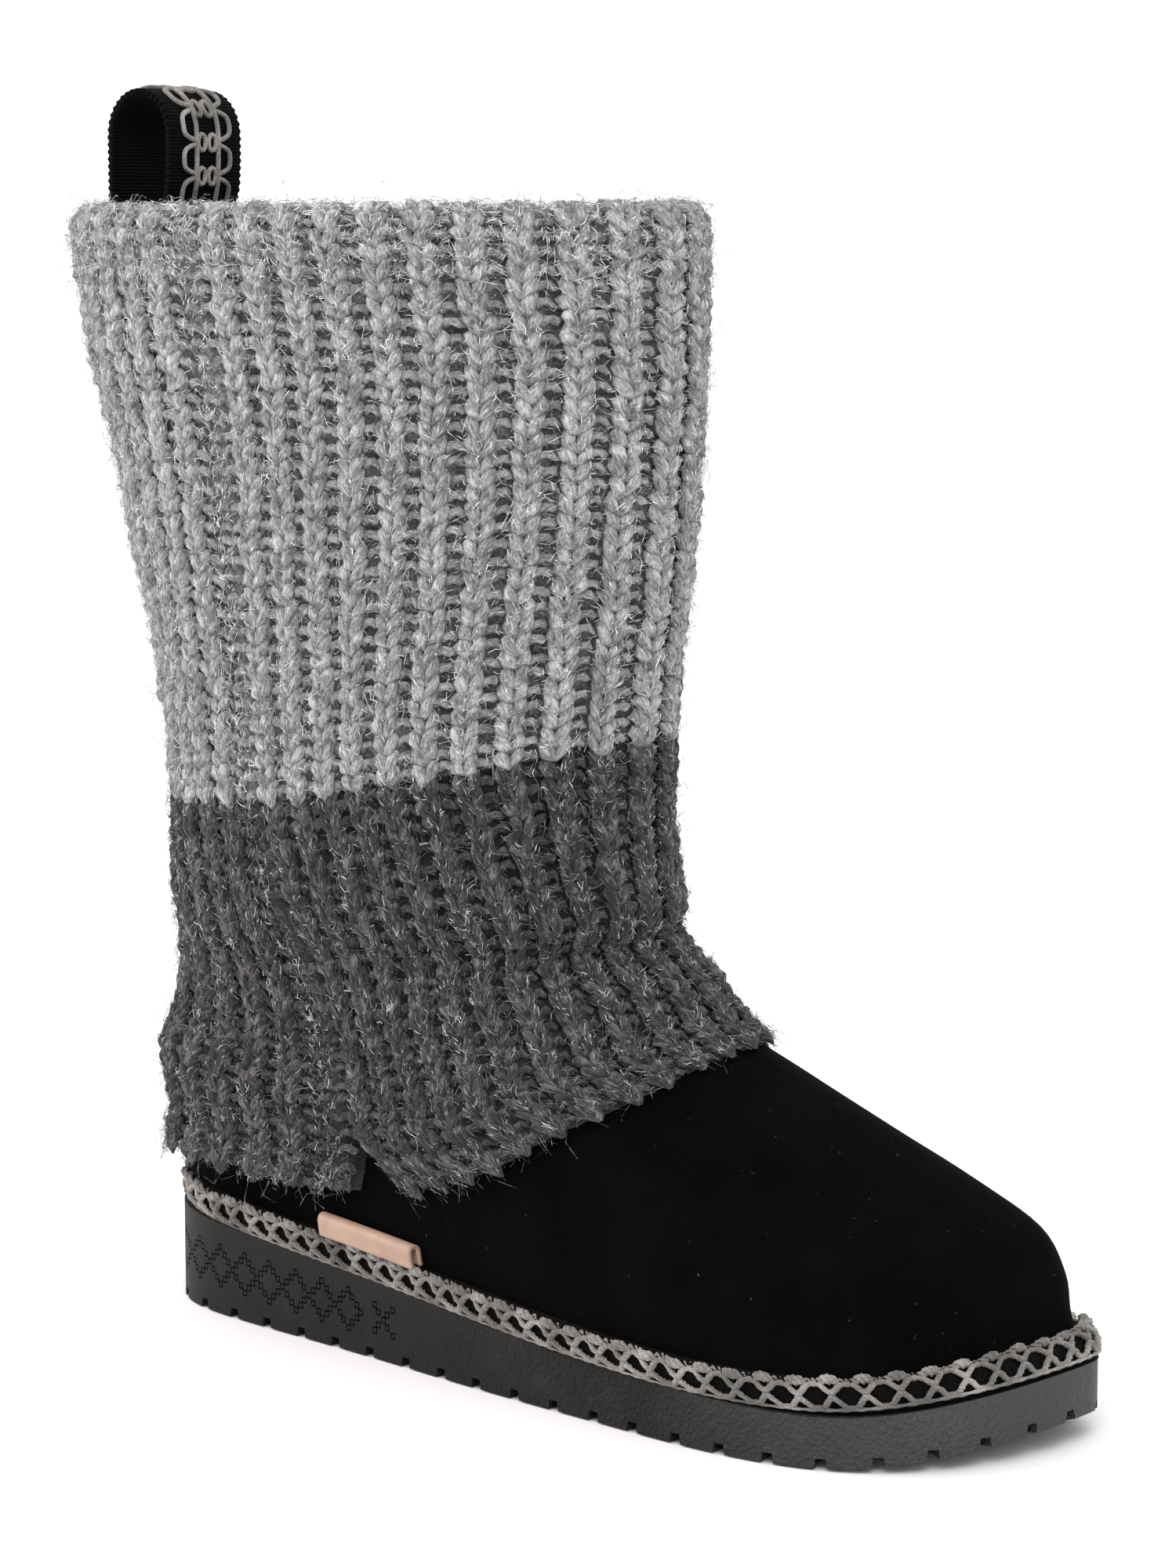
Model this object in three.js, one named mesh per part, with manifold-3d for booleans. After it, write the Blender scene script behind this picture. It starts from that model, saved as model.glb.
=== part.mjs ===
// A pull-on winter boot for the right foot: a suede-like upper on a wedge rubber sole, a ribbed knit sleeve
// folded over the collar, a woven trim round the foot, a woven pull loop and a small folded side tab.
// Millimetres. +X runs to the toe, +Y to the inner side of the foot and +Z up. The origin is on the floor,
// halfway between heel and toe.
import * as THREE from "three";
import { mergeVertices } from "three/addons/utils/BufferGeometryUtils.js";
import Module from "manifold-3d";

const wasm = await Module();
wasm.setup();

// Driving sizes
const SOLE_LENGTH = 266;
const BALL_WIDTH = 98;
const HEEL_THICKNESS = 26.5;
const FOREFOOT_THICKNESS = 12;
const TOE_SPRING = 6.5;
const INSTEP_RISE = 92;
const COLLAR_HEIGHT = 281;
const COLLAR_LENGTH = 188;
const COLLAR_WIDTH = 96;
const SHAFT_BACKSET = 75;
const SHAFT_LEAN = 14;
const UPPER_WALL = 2.4;
const KNIT_WALL = 4.6;
const KNIT_TURN_IN = 24;
const SLOUCH = 6;
const TRIM_HEIGHT = 8;
const TRIM_THICKNESS = 3.2;
const INSOLE_THICKNESS = 5;
const CLEARANCE = 0.3;

// Sole details
const SOLE_EDGE_ROUND = 1.6;
const LUG_PITCH = 12.8;
const LUG_GAP_WIDTH = 3.2;
const LUG_GAP_HEIGHT = 2.4;
const LUG_GAP_REACH = 9;
const TREAD_MARGIN = 13;
const TREAD_DEPTH = 1.6;

// Pull loop
const LOOP_WIDTH = 26;
const LOOP_SPAN = 22;
const LOOP_HEIGHT = 30;
const LOOP_TAIL = 17;
const LOOP_TAPE = 2;

// Side tab
const TAB_LENGTH = 33;
const TAB_HEIGHT = 5.4;
const TAB_DEPTH = 4;
const TAB_WALL = 1.1;
const TAB_PLACE = 0.346;
const TAB_GAP = 1;

// Side vents at the sleeve's hem
const VENT_WIDTH = 22;
const VENT_HEIGHT = 13;
const VENT_PLACE = 0.395;

// Mesh steps: columns go once round the foot, rows go from the feather edge to the collar
const SIDE_STEPS = 27;
const COLUMNS = 2 * SIDE_STEPS;
const FOOT_STEPS = 9;
const SHAFT_STEPS = 8;
const HEM_STEPS = 5;

// Sole stations. along is a share of the sole's length; outer and inner are half widths from the foot's own
// line, as shares of the ball width; wedge is the share of the way from forefoot to heel thickness.
const SOLE_STATIONS = [
  { along: 0, outer: 0.35, inner: 0.35, wedge: 1 },
  { along: 0.31, outer: 0.395, inner: 0.335, wedge: 0.58 },
  { along: 0.6, outer: 0.475, inner: 0.375, wedge: 0.21 },
  { along: 0.8, outer: 0.55, inner: 0.405, wedge: 0.03 },
  { along: 1, outer: 0.575, inner: 0.25, wedge: 0 },
];
const TOE_SWING = 0.18;
const SWING_START = 0.4;
const SPRING_START = 0.85;
const SOLE_TOE_ROUND = 6.5;
const SOLE_HEEL_ROUND = 11;

// Sections of the upper round the foot. back and front are shares of the sole's length, riseBack and
// riseFront shares of the instep rise above the sole, heel to toe half widths as shares of the ball width,
// all before the trim's ledge is taken off. slim is how much of the foot's left-right difference stays.
const FOOT_SECTIONS = [
  {
    back: 0, front: 1, riseBack: 0, riseFront: 0, slim: 1,
    heel: 0.345, waist: 0.412, ball: 0.53, toe: 0.575, toeRound: 6.5, heelRound: 10,
  },
  {
    back: -0.0053, front: 0.983, riseBack: 0.09, riseFront: 0.11, slim: 1,
    heel: 0.367, waist: 0.425, ball: 0.547, toe: 0.567, toeRound: 5.8, heelRound: 9,
  },
  {
    back: -0.00941, front: 0.978, riseBack: 0.17, riseFront: 0.23, slim: 1,
    heel: 0.373, waist: 0.427, ball: 0.545, toe: 0.542, toeRound: 5, heelRound: 8,
  },
  {
    back: -0.0115, front: 0.955, riseBack: 0.26, riseFront: 0.36, slim: 0.95,
    heel: 0.375, waist: 0.421, ball: 0.531, toe: 0.496, toeRound: 4.2, heelRound: 7,
  },
  {
    back: -0.0135, front: 0.893, riseBack: 0.34, riseFront: 0.47, slim: 0.9,
    heel: 0.37, waist: 0.411, ball: 0.506, toe: 0.456, toeRound: 3.6, heelRound: 6,
  },
  {
    back: -0.0135, front: 0.805, riseBack: 0.43, riseFront: 0.57, slim: 0.8,
    heel: 0.366, waist: 0.401, ball: 0.476, toe: 0.426, toeRound: 3.2, heelRound: 5,
  },
  {
    back: -0.0135, front: 0.71, riseBack: 0.51, riseFront: 0.67, slim: 0.65,
    heel: 0.361, waist: 0.396, ball: 0.456, toe: 0.416, toeRound: 3, heelRound: 4.2,
  },
  {
    back: -0.0115, front: 0.613, riseBack: 0.6, riseFront: 0.77, slim: 0.5,
    heel: 0.361, waist: 0.396, ball: 0.446, toe: 0.416, toeRound: 2.8, heelRound: 3.5,
  },
  {
    back: -0.00941, front: 0.562, riseBack: 0.69, riseFront: 0.88, slim: 0.35,
    heel: 0.366, waist: 0.406, ball: 0.446, toe: 0.426, toeRound: 2.6, heelRound: 3,
  },
  {
    back: -0.00735, front: 0.531, riseBack: 0.78, riseFront: 1, slim: 0.2,
    heel: 0.376, waist: 0.416, ball: 0.446, toe: 0.436, toeRound: 2.4, heelRound: 2.7,
  },
];

// Level sections of the shaft. up is a share of the height from instep to collar, length and width are
// shares of the collar's, lean is the share of the shaft's backward lean.
const SHAFT_SECTIONS = [
  { up: 0.1, length: 0.75, width: 0.84, lean: 0.02 },
  { up: 0.25, length: 0.755, width: 0.84, lean: 0.14 },
  { up: 0.42, length: 0.8, width: 0.86, lean: 0.25 },
  { up: 0.6, length: 0.875, width: 0.895, lean: 0.43 },
  { up: 0.79, length: 0.935, width: 0.94, lean: 0.65 },
  { up: 1, length: 1, width: 1, lean: 1 },
];
const SHAFT_ROUND = 2;

// Where the sleeve's hem runs on each side, as a section number for each share of the way from heel to toe
const HEM_LINE = [
  { along: 0, outer: 1.4, inner: 1.4 },
  { along: 0.16, outer: 1.8, inner: 1.65 },
  { along: 0.34, outer: 2.1, inner: 2.1 },
  { along: 0.46, outer: 2.85, inner: 2.8 },
  { along: 0.7, outer: 4.8, inner: 4.9 },
  { along: 0.88, outer: 5.85, inner: 6.2 },
  { along: 1, outer: 6.5, inner: 6.5 },
];

// Soft folds of the sleeve: ridges and troughs (negative) with their place, spread and height, which is a
// share of the slouch
const FOLDS = [
  { section: 10.4, along: 1, spreadUp: 0.8, spreadAlong: 0.4, height: 0.45 },
  { section: 9, along: 1, spreadUp: 0.5, spreadAlong: 0.4, height: -0.2 },
  { section: 9.8, along: 0.3, spreadUp: 0.9, spreadAlong: 0.3, height: 0.35 },
  { section: 7.4, along: 0.8, spreadUp: 0.7, spreadAlong: 0.25, height: 0.5 },
  { section: 4.9, along: 0, spreadUp: 1.2, spreadAlong: 0.35, height: 0.75 },
  { section: 1.8, along: 0, spreadUp: 1, spreadAlong: 0.35, height: 0.5 },
  { section: 14.4, along: 0, spreadUp: 0.5, spreadAlong: 0.6, height: 0.3 },
];

function ramp(from, to, at) {
  const share = Math.min(Math.max((at - from) / (to - from), 0), 1);
  return share * share * (3 - 2 * share);
}

function between(a, b, share) {
  return a + (b - a) * share;
}

// A smooth curve through one column of a table, read at a place on its key column
function smooth(table, key, column, at) {
  const last = table.length - 1;
  let i = 0;
  while (i < last - 1 && at > table[i + 1][key]) i++;
  const a = table[i];
  const b = table[i + 1];
  const before = table[Math.max(i - 1, 0)];
  const after = table[Math.min(i + 2, last)];
  const span = b[key] - a[key];
  const slopeA = ((b[column] - before[column]) / (b[key] - before[key])) * span;
  const slopeB = ((after[column] - a[column]) / (after[key] - a[key])) * span;
  const s = (at - a[key]) / span;
  return (
    a[column] * (1 + s * s * (2 * s - 3)) +
    b[column] * s * s * (3 - 2 * s) +
    slopeA * s * (1 - s) * (1 - s) -
    slopeB * s * s * (1 - s)
  );
}

const HEEL_X = -SOLE_LENGTH / 2;

function alongSole(x) {
  return Math.min(Math.max((x - HEEL_X) / SOLE_LENGTH, 0), 1);
}

function soleBottom(x) {
  const past = Math.max(alongSole(x) - SPRING_START, 0) / (1 - SPRING_START);
  return TOE_SPRING * past * past;
}

function soleTop(x) {
  const wedge = Math.max(smooth(SOLE_STATIONS, "along", "wedge", alongSole(x)), 0);
  return soleBottom(x) + between(FOREFOOT_THICKNESS, HEEL_THICKNESS, wedge);
}

// How full an outline is at a share of its length: 0 at both ends, with rounder ends for a lower number
function fullness(share, heelRound, toeRound) {
  const round = share < 0.5 ? heelRound : toeRound;
  return Math.sqrt(Math.max(1 - Math.abs(2 * share - 1) ** round, 0));
}

// The share from heel to toe, and the side, of an angle that goes round the foot from the back of the heel,
// up the outer side to the toe and down the inner side again
function shareOf(angle) {
  return (1 - Math.cos(angle)) / 2;
}

function isOuter(angle) {
  return Math.sin(angle) >= 0;
}

function footLine(share) {
  const past = Math.max(share - SWING_START, 0) / (1 - SWING_START);
  return TOE_SWING * BALL_WIDTH * past * past;
}

function solePoint(angle, inset, z) {
  const share = shareOf(angle);
  const column = isOuter(angle) ? "outer" : "inner";
  const half = BALL_WIDTH * smooth(SOLE_STATIONS, "along", column, share) - inset;
  const side = isOuter(angle) ? -1 : 1;
  const x = HEEL_X + inset + share * (SOLE_LENGTH - 2 * inset);
  const y = footLine(share) + side * half * fullness(share, SOLE_HEEL_ROUND, SOLE_TOE_ROUND);
  return new THREE.Vector3(x, y, z(x));
}

// All sections of the upper in millimetres, foot sections first
const LEDGE = TRIM_THICKNESS + CLEARANCE;
const HALF_WIDTHS = ["heel", "waist", "ball", "toe"];
const footRows = FOOT_SECTIONS.map((section) => ({
  ...section,
  back: HEEL_X + LEDGE + section.back * (SOLE_LENGTH - 2 * LEDGE),
  front: HEEL_X + LEDGE + section.front * (SOLE_LENGTH - 2 * LEDGE),
  riseBack: section.riseBack * INSTEP_RISE,
  riseFront: section.riseFront * INSTEP_RISE,
  ...Object.fromEntries(HALF_WIDTHS.map((name) => [name, section[name] * BALL_WIDTH])),
  ledge: LEDGE,
  level: 0,
}));
const INSTEP_LEVEL = HEEL_THICKNESS + INSTEP_RISE * FOOT_SECTIONS[FOOT_SECTIONS.length - 1].riseBack;
const shaftRows = SHAFT_SECTIONS.map((section) => {
  const middle = -SHAFT_BACKSET + SHAFT_LEAN * (1 - section.lean);
  const rise = between(INSTEP_LEVEL, COLLAR_HEIGHT, section.up) - HEEL_THICKNESS;
  const half = (section.width * COLLAR_WIDTH) / 2;
  return {
    back: middle - (section.length * COLLAR_LENGTH) / 2,
    front: middle + (section.length * COLLAR_LENGTH) / 2,
    riseBack: rise,
    riseFront: rise,
    ...Object.fromEntries(HALF_WIDTHS.map((name) => [name, half])),
    toeRound: SHAFT_ROUND,
    heelRound: SHAFT_ROUND,
    slim: 0,
    ledge: 0,
    level: 1,
  };
});
const upperRows = [...footRows, ...shaftRows].map((row, number) => ({ ...row, number }));
const COLLAR_ROW = upperRows.length - 1;
const ANKLE_ROW = 7;
const WIDTH_PLACES = [0, 0.38, 0.74, 1];
const INNER_SLIM = [0, 0.14, 0.23, 0.43];

// A point of the upper's outer face: row counts the sections from the feather edge, angle goes round
function upperPoint(row, angle) {
  const at = (column) => smooth(upperRows, "number", column, row);
  const share = shareOf(angle);
  const x = between(at("back"), at("front"), share);
  const slim = at("slim");
  const widths = HALF_WIDTHS.map((name, i) => ({
    along: WIDTH_PLACES[i],
    half: at(name) * (isOuter(angle) ? 1 : 1 - slim * INNER_SLIM[i]),
  }));
  const half = smooth(widths, "along", "half", share) - at("ledge");
  const side = isOuter(angle) ? -1 : 1;
  const y = slim * footLine(share) + side * half * fullness(share, at("heelRound"), at("toeRound"));
  const base = between(soleTop(x), HEEL_THICKNESS, at("level"));
  return new THREE.Vector3(x, y, base + between(at("riseBack"), at("riseFront"), share));
}

function upperNormal(row, angle) {
  const step = 0.02;
  const low = Math.max(row - step, 0);
  const high = Math.min(row + step, COLLAR_ROW);
  const up = upperPoint(high, angle).sub(upperPoint(low, angle));
  const round = upperPoint(row, angle + step).sub(upperPoint(row, angle - step));
  const normal = round.cross(up).normalize();
  if (row <= 0 || row >= COLLAR_ROW) normal.setZ(0).normalize();
  return normal;
}

// A point at a distance out of the upper's face
function offUpper(row, angle, distance) {
  const place = upperPoint(row, angle).addScaledVector(upperNormal(row, angle), distance);
  if (row <= 0) place.setZ(soleTop(place.x));
  return place;
}

const angles = Array.from({ length: COLUMNS }, (_, i) => (2 * Math.PI * i) / COLUMNS);

// A closed ring from one cross-section for each angle, all with as many corners
function ringGeometry(sections) {
  const corners = sections[0].length;
  const count = sections.length;
  const faces = [];
  for (let i = 0; i < count; i++) {
    for (let k = 0; k < corners; k++) {
      const a = i * corners + k;
      const b = i * corners + ((k + 1) % corners);
      const c = ((i + 1) % count) * corners + ((k + 1) % corners);
      const d = ((i + 1) % count) * corners + k;
      faces.push(a, b, c, a, c, d);
    }
  }
  return geometryOf(sections.flat(), faces);
}

// A closed block from a stack of outlines round the foot, bottom first, with strips across for its two ends
function stackGeometry(outlines) {
  const faces = [];
  for (let k = 0; k + 1 < outlines.length; k++) {
    for (let i = 0; i < COLUMNS; i++) {
      const a = k * COLUMNS + i;
      const b = k * COLUMNS + ((i + 1) % COLUMNS);
      faces.push(a, b, b + COLUMNS, a, b + COLUMNS, a + COLUMNS);
    }
  }
  const top = (outlines.length - 1) * COLUMNS;
  for (let i = 0; i < SIDE_STEPS; i++) {
    const other = (COLUMNS - i) % COLUMNS;
    const quad = [i, i + 1, COLUMNS - i - 1, other];
    addStrip(faces, quad);
    addStrip(faces, quad.map((corner) => corner + top).reverse());
  }
  return geometryOf(outlines.flat(), faces);
}

function addStrip(faces, [a, b, c, d]) {
  if (b !== c) faces.push(a, c, b);
  if (a !== d) faces.push(a, d, c);
}

// A closed bar from a row of cross-sections with both ends capped; every section is a star round its middle
function barGeometry(sections) {
  const corners = sections[0].length;
  const points = sections.flat();
  const faces = [];
  for (let i = 0; i + 1 < sections.length; i++) {
    for (let k = 0; k < corners; k++) {
      const a = i * corners + k;
      const b = i * corners + ((k + 1) % corners);
      faces.push(a, b, b + corners, a, b + corners, a + corners);
    }
  }
  const half = corners / 2;
  const end = (sections.length - 1) * corners;
  for (let k = 0; k + 1 < half; k++) {
    const [a, b, c, d] = [k, k + 1, corners - k - 2, corners - k - 1];
    faces.push(a, c, b, a, d, c);
    faces.push(end + a, end + b, end + c, end + a, end + c, end + d);
  }
  return geometryOf(points, faces);
}

function geometryOf(points, faces) {
  const geometry = new THREE.BufferGeometry().setFromPoints(points);
  geometry.setIndex(faces);
  return geometry;
}

// Solids for cutting and joining
function solidOf(geometry) {
  const bare = geometry.clone();
  bare.deleteAttribute("normal");
  bare.deleteAttribute("uv");
  const merged = mergeVertices(bare, 1e-4);
  const triVerts = new Uint32Array(merged.index.array);
  const vertProperties = merged.attributes.position.array;
  const solid = new wasm.Manifold(new wasm.Mesh({ numProp: 3, vertProperties, triVerts }));
  if (solid.volume() > 0) return solid;
  for (let i = 0; i < triVerts.length; i += 3) {
    [triVerts[i], triVerts[i + 1]] = [triVerts[i + 1], triVerts[i]];
  }
  return new wasm.Manifold(new wasm.Mesh({ numProp: 3, vertProperties, triVerts }));
}

function meshOf(name, solid, look) {
  const made = solid.getMesh();
  const places = new Float32Array(made.numVert * 3);
  for (let i = 0; i < made.numVert; i++) {
    places.set(made.vertProperties.subarray(i * made.numProp, i * made.numProp + 3), i * 3);
  }
  const geometry = new THREE.BufferGeometry();
  geometry.setAttribute("position", new THREE.BufferAttribute(places, 3));
  geometry.setIndex(new THREE.BufferAttribute(new Uint32Array(made.triVerts), 1));
  geometry.computeVertexNormals();
  const mesh = new THREE.Mesh(geometry, new THREE.MeshStandardMaterial(look));
  mesh.name = name;
  return mesh;
}

// Outsole: a rubber wedge with a rounded lower edge, lug gaps all round its rim and bars across its tread
function lugGap(place, next) {
  const heading = Math.atan2(next.y - place.y, next.x - place.x);
  const gap = new THREE.BoxGeometry(LUG_GAP_WIDTH, 2 * LUG_GAP_REACH, 2 * LUG_GAP_HEIGHT);
  gap.rotateZ(heading);
  gap.translate(place.x, place.y, soleBottom(place.x));
  return solidOf(gap);
}

function treadBar(x) {
  const share = alongSole(x);
  const outer = BALL_WIDTH * smooth(SOLE_STATIONS, "along", "outer", share) - TREAD_MARGIN;
  const inner = BALL_WIDTH * smooth(SOLE_STATIONS, "along", "inner", share) - TREAD_MARGIN;
  const bar = new THREE.BoxGeometry(LUG_GAP_WIDTH, outer + inner, 2 * TREAD_DEPTH);
  bar.translate(x, footLine(share) + (inner - outer) / 2, soleBottom(x));
  return solidOf(bar);
}

function outsole() {
  const levels = [
    { inset: SOLE_EDGE_ROUND, z: (x) => soleBottom(x) },
    { inset: 0, z: (x) => soleBottom(x) + SOLE_EDGE_ROUND },
    { inset: 0, z: (x) => soleTop(x) - SOLE_EDGE_ROUND },
    { inset: SOLE_EDGE_ROUND / 2, z: (x) => soleTop(x) },
  ];
  const rings = levels.map(({ inset, z }) => angles.map((angle) => solePoint(angle, inset, z)));
  const block = stackGeometry(rings);
  let solid = solidOf(block);

  const rimSteps = 600;
  const rim = Array.from({ length: rimSteps + 1 }, (_, i) =>
    solePoint((2 * Math.PI * i) / rimSteps, 0, () => 0),
  );
  let travelled = 0;
  const lengths = rim.map((point, i) => (travelled += i ? point.distanceTo(rim[i - 1]) : 0));
  const gapCount = Math.round(travelled / LUG_PITCH);
  for (let n = 0; n < gapCount; n++) {
    const wanted = ((n + 0.5) * travelled) / gapCount;
    const i = lengths.findIndex((length) => length >= wanted);
    solid = solid.subtract(lugGap(rim[i - 1], rim[i]));
  }
  const barsEachWay = Math.floor((SOLE_LENGTH / 2 - 2 * TREAD_MARGIN) / LUG_PITCH);
  for (let n = 0; n < barsEachWay; n++) {
    const away = (n + 0.5) * LUG_PITCH;
    solid = solid.subtract(treadBar(away)).subtract(treadBar(-away));
  }
  return solid;
}

// Insole: a pad that lies on the outsole and follows the upper's inner face
function insole() {
  const edge = INSOLE_THICKNESS / 4;
  const level = (up, extra) =>
    angles.map((angle) => {
      const place = offUpper(rowAtRise(angle, up), angle, -UPPER_WALL - CLEARANCE - extra);
      return place.setZ(soleTop(place.x) + CLEARANCE + up);
    });
  const levels = [level(0, 0), level(INSOLE_THICKNESS - edge, 0), level(INSOLE_THICKNESS, edge)];
  return solidOf(stackGeometry(levels));
}

// Rows up the wall. The upper and the sleeve share those above the ankle, so their faces run side by side.
function rowsBetween(from, to, steps) {
  return Array.from({ length: steps + 1 }, (_, i) => between(from, to, i / steps));
}

const shaftWallRows = rowsBetween(ANKLE_ROW, COLLAR_ROW, SHAFT_STEPS);
const footWallRows = rowsBetween(0, ANKLE_ROW, FOOT_STEPS).slice(0, -1);
const lift = new THREE.Vector3(0, 0, CLEARANCE);

// Upper: one wall from the feather edge to the collar, open below and above
function upper() {
  const rows = [...footWallRows, ...shaftWallRows];
  const section = (angle) => [
    ...rows.map((row) => offUpper(row, angle, 0).add(lift)),
    ...rows.toReversed().map((row) => offUpper(row, angle, -UPPER_WALL).add(lift)),
  ];
  return solidOf(ringGeometry(angles.map(section)));
}

// Knit sleeve: up over the upper from the hem, round the collar and down inside it
function slouch(row, angle) {
  const share = shareOf(angle);
  const gathered = FOLDS.reduce((sum, fold) => {
    const up = (row - fold.section) / fold.spreadUp;
    const along = (share - fold.along) / fold.spreadAlong;
    return sum + fold.height * Math.exp(-up * up - along * along);
  }, 0.12);
  return SLOUCH * Math.max(gathered, 0);
}

function hemRow(angle) {
  return smooth(HEM_LINE, "along", isOuter(angle) ? "outer" : "inner", shareOf(angle));
}

function sleeveSection(angle) {
  const rows = [...rowsBetween(hemRow(angle), ANKLE_ROW, HEM_STEPS).slice(0, -1), ...shaftWallRows];
  const loose = (row) => slouch(row, angle) * ramp(COLLAR_ROW, COLLAR_ROW - 1, row);
  const outer = (row) => offUpper(row, angle, CLEARANCE + KNIT_WALL + loose(row)).add(lift);
  const hidden = (row) => offUpper(row, angle, CLEARANCE + loose(row)).add(lift);

  const wallMiddle = offUpper(COLLAR_ROW, angle, -UPPER_WALL / 2).add(lift);
  const outward = upperNormal(COLLAR_ROW, angle);
  const roll = (radius, turn) => {
    const rise = new THREE.Vector3(0, 0, radius * Math.sin(turn));
    return wallMiddle.clone().addScaledVector(outward, radius * Math.cos(turn)).add(rise);
  };
  const tight = UPPER_WALL / 2 + CLEARANCE;
  const wide = tight + KNIT_WALL;

  const rowHeight = COLLAR_HEIGHT - upperPoint(COLLAR_ROW - 1, 0).z;
  const insideRows = rowsBetween(COLLAR_ROW, COLLAR_ROW - KNIT_TURN_IN / rowHeight, 2);
  const inside = (row, depth) => offUpper(row, angle, -UPPER_WALL - CLEARANCE - depth).add(lift);
  return [
    ...rows.map(outer),
    ...[0.2, 0.4, 0.6, 0.8].map((turn) => roll(wide, turn * Math.PI)),
    ...insideRows.map((row) => inside(row, KNIT_WALL)),
    ...insideRows.toReversed().map((row) => inside(row, 0)),
    ...[0.67, 0.33].map((turn) => roll(tight, turn * Math.PI)),
    ...rows.toReversed().map(hidden),
  ];
}

function ventCut(angle) {
  const place = upperPoint(hemRow(angle), angle);
  const notch = new THREE.Shape([
    new THREE.Vector2(-VENT_WIDTH / 3, -VENT_HEIGHT),
    new THREE.Vector2(VENT_WIDTH, -VENT_HEIGHT),
    new THREE.Vector2(0, VENT_HEIGHT),
  ]);
  const depth = BALL_WIDTH / 3;
  const cut = new THREE.ExtrudeGeometry(notch, { depth, bevelEnabled: false });
  cut.translate(0, 0, -depth / 2);
  cut.rotateX(Math.PI / 2);
  cut.translate(place.x, place.y, place.z);
  return solidOf(cut);
}

function knitSleeve() {
  const ventAngle = Math.acos(1 - 2 * VENT_PLACE);
  return solidOf(ringGeometry(angles.map(sleeveSection)))
    .subtract(ventCut(ventAngle))
    .subtract(ventCut(-ventAngle));
}

// Distances up the upper's wall from the feather edge
function rowAtRise(angle, rise) {
  const step = 0.05;
  let row = 0;
  let climbed = 0;
  let last = upperPoint(0, angle);
  while (climbed < rise) {
    row += step;
    const next = upperPoint(row, angle);
    climbed += next.distanceTo(last);
    last = next;
  }
  return row;
}

// Woven trim: a padded band that stands on the sole's ledge against the upper
const TRIM_PROFILE = [
  { up: 0, out: 0 },
  { up: 0, out: 1 },
  { up: 0.5, out: 1.15 },
  { up: 0.9, out: 0.95 },
  { up: 1, out: 0.6 },
  { up: 1, out: 0 },
];

function wovenTrim() {
  const section = (angle) =>
    TRIM_PROFILE.map(({ up, out }) => {
      const place = offUpper(rowAtRise(angle, up * TRIM_HEIGHT), angle, CLEARANCE + out * TRIM_THICKNESS);
      return place.add(lift);
    });
  return solidOf(ringGeometry(angles.map(section)));
}

// Side tab: a strip folded lengthwise with its fold up, standing over the trim on the outer side
function sideTab() {
  const middle = Math.acos(1 - 2 * TAB_PLACE);
  const reach = TAB_LENGTH / 2 / upperPoint(1, middle + 0.5).distanceTo(upperPoint(1, middle - 0.5));
  const arch = (inset) =>
    [0, 0.25, 0.5, 0.75, 1].map((share) => {
      const turn = Math.PI * share;
      const radius = TAB_DEPTH / 2 - inset;
      return {
        out: TAB_DEPTH / 2 + radius * Math.cos(turn),
        up: TAB_HEIGHT - TAB_DEPTH / 2 + radius * Math.sin(turn),
      };
    });
  const profile = [
    { out: TAB_DEPTH, up: 0 },
    ...arch(0),
    { out: 0, up: 0 },
    { out: TAB_WALL, up: 0 },
    ...arch(TAB_WALL).reverse(),
    { out: TAB_DEPTH - TAB_WALL, up: 0 },
  ];
  const sections = Array.from({ length: 7 }, (_, i) => {
    const angle = middle + ((2 * i) / 6 - 1) * reach;
    return profile.map(({ out, up }) =>
      offUpper(rowAtRise(angle, TRIM_HEIGHT + TAB_GAP + up), angle, 2 * CLEARANCE + out),
    );
  });
  return solidOf(barGeometry(sections));
}

// Pull loop: a woven tape sewn by its tail to the turned-in knit at the back of the collar, and arched up
function backWall(y, z) {
  const inset = UPPER_WALL + CLEARANCE + KNIT_WALL;
  const rowHeight = COLLAR_HEIGHT - upperPoint(COLLAR_ROW - 1, 0).z;
  const row = Math.min(COLLAR_ROW, COLLAR_ROW - (COLLAR_HEIGHT - z) / rowHeight);
  let nearest = Infinity;
  let x = 0;
  for (let angle = -1.2; angle <= 1.2; angle += 0.01) {
    const place = offUpper(row, angle, -inset);
    const miss = Math.abs(place.y - y);
    if (miss < nearest) {
      nearest = miss;
      x = place.x;
    }
  }
  return x;
}

// Half of the tape from a route of places: out is the distance from the knit's inner face, z the height
function tapeHalf(route) {
  const across = [-1, -0.5, 0, 0.5, 1].map((share) => (share * LOOP_WIDTH) / 2);
  const rim = COLLAR_HEIGHT + UPPER_WALL / 2 + KNIT_WALL;
  const sections = route.map((place, i) => {
    const before = route[Math.max(i - 1, 0)];
    const after = route[Math.min(i + 1, route.length - 1)];
    const heading = Math.atan2(after.z - before.z, after.out - before.out);
    const middle = backWall(0, place.z);
    const follow = ramp(rim + LOOP_HEIGHT / 3, COLLAR_HEIGHT, place.z);
    const side = (reach) =>
      across.map((y) => {
        const curve = follow * (backWall(y, place.z) - middle);
        const x = middle + curve + place.out - reach * Math.sin(heading);
        return new THREE.Vector3(x, y, place.z + reach * Math.cos(heading));
      });
    return [...side(LOOP_TAPE / 2), ...side(-LOOP_TAPE / 2).reverse()];
  });
  return solidOf(barGeometry(sections));
}

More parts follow.
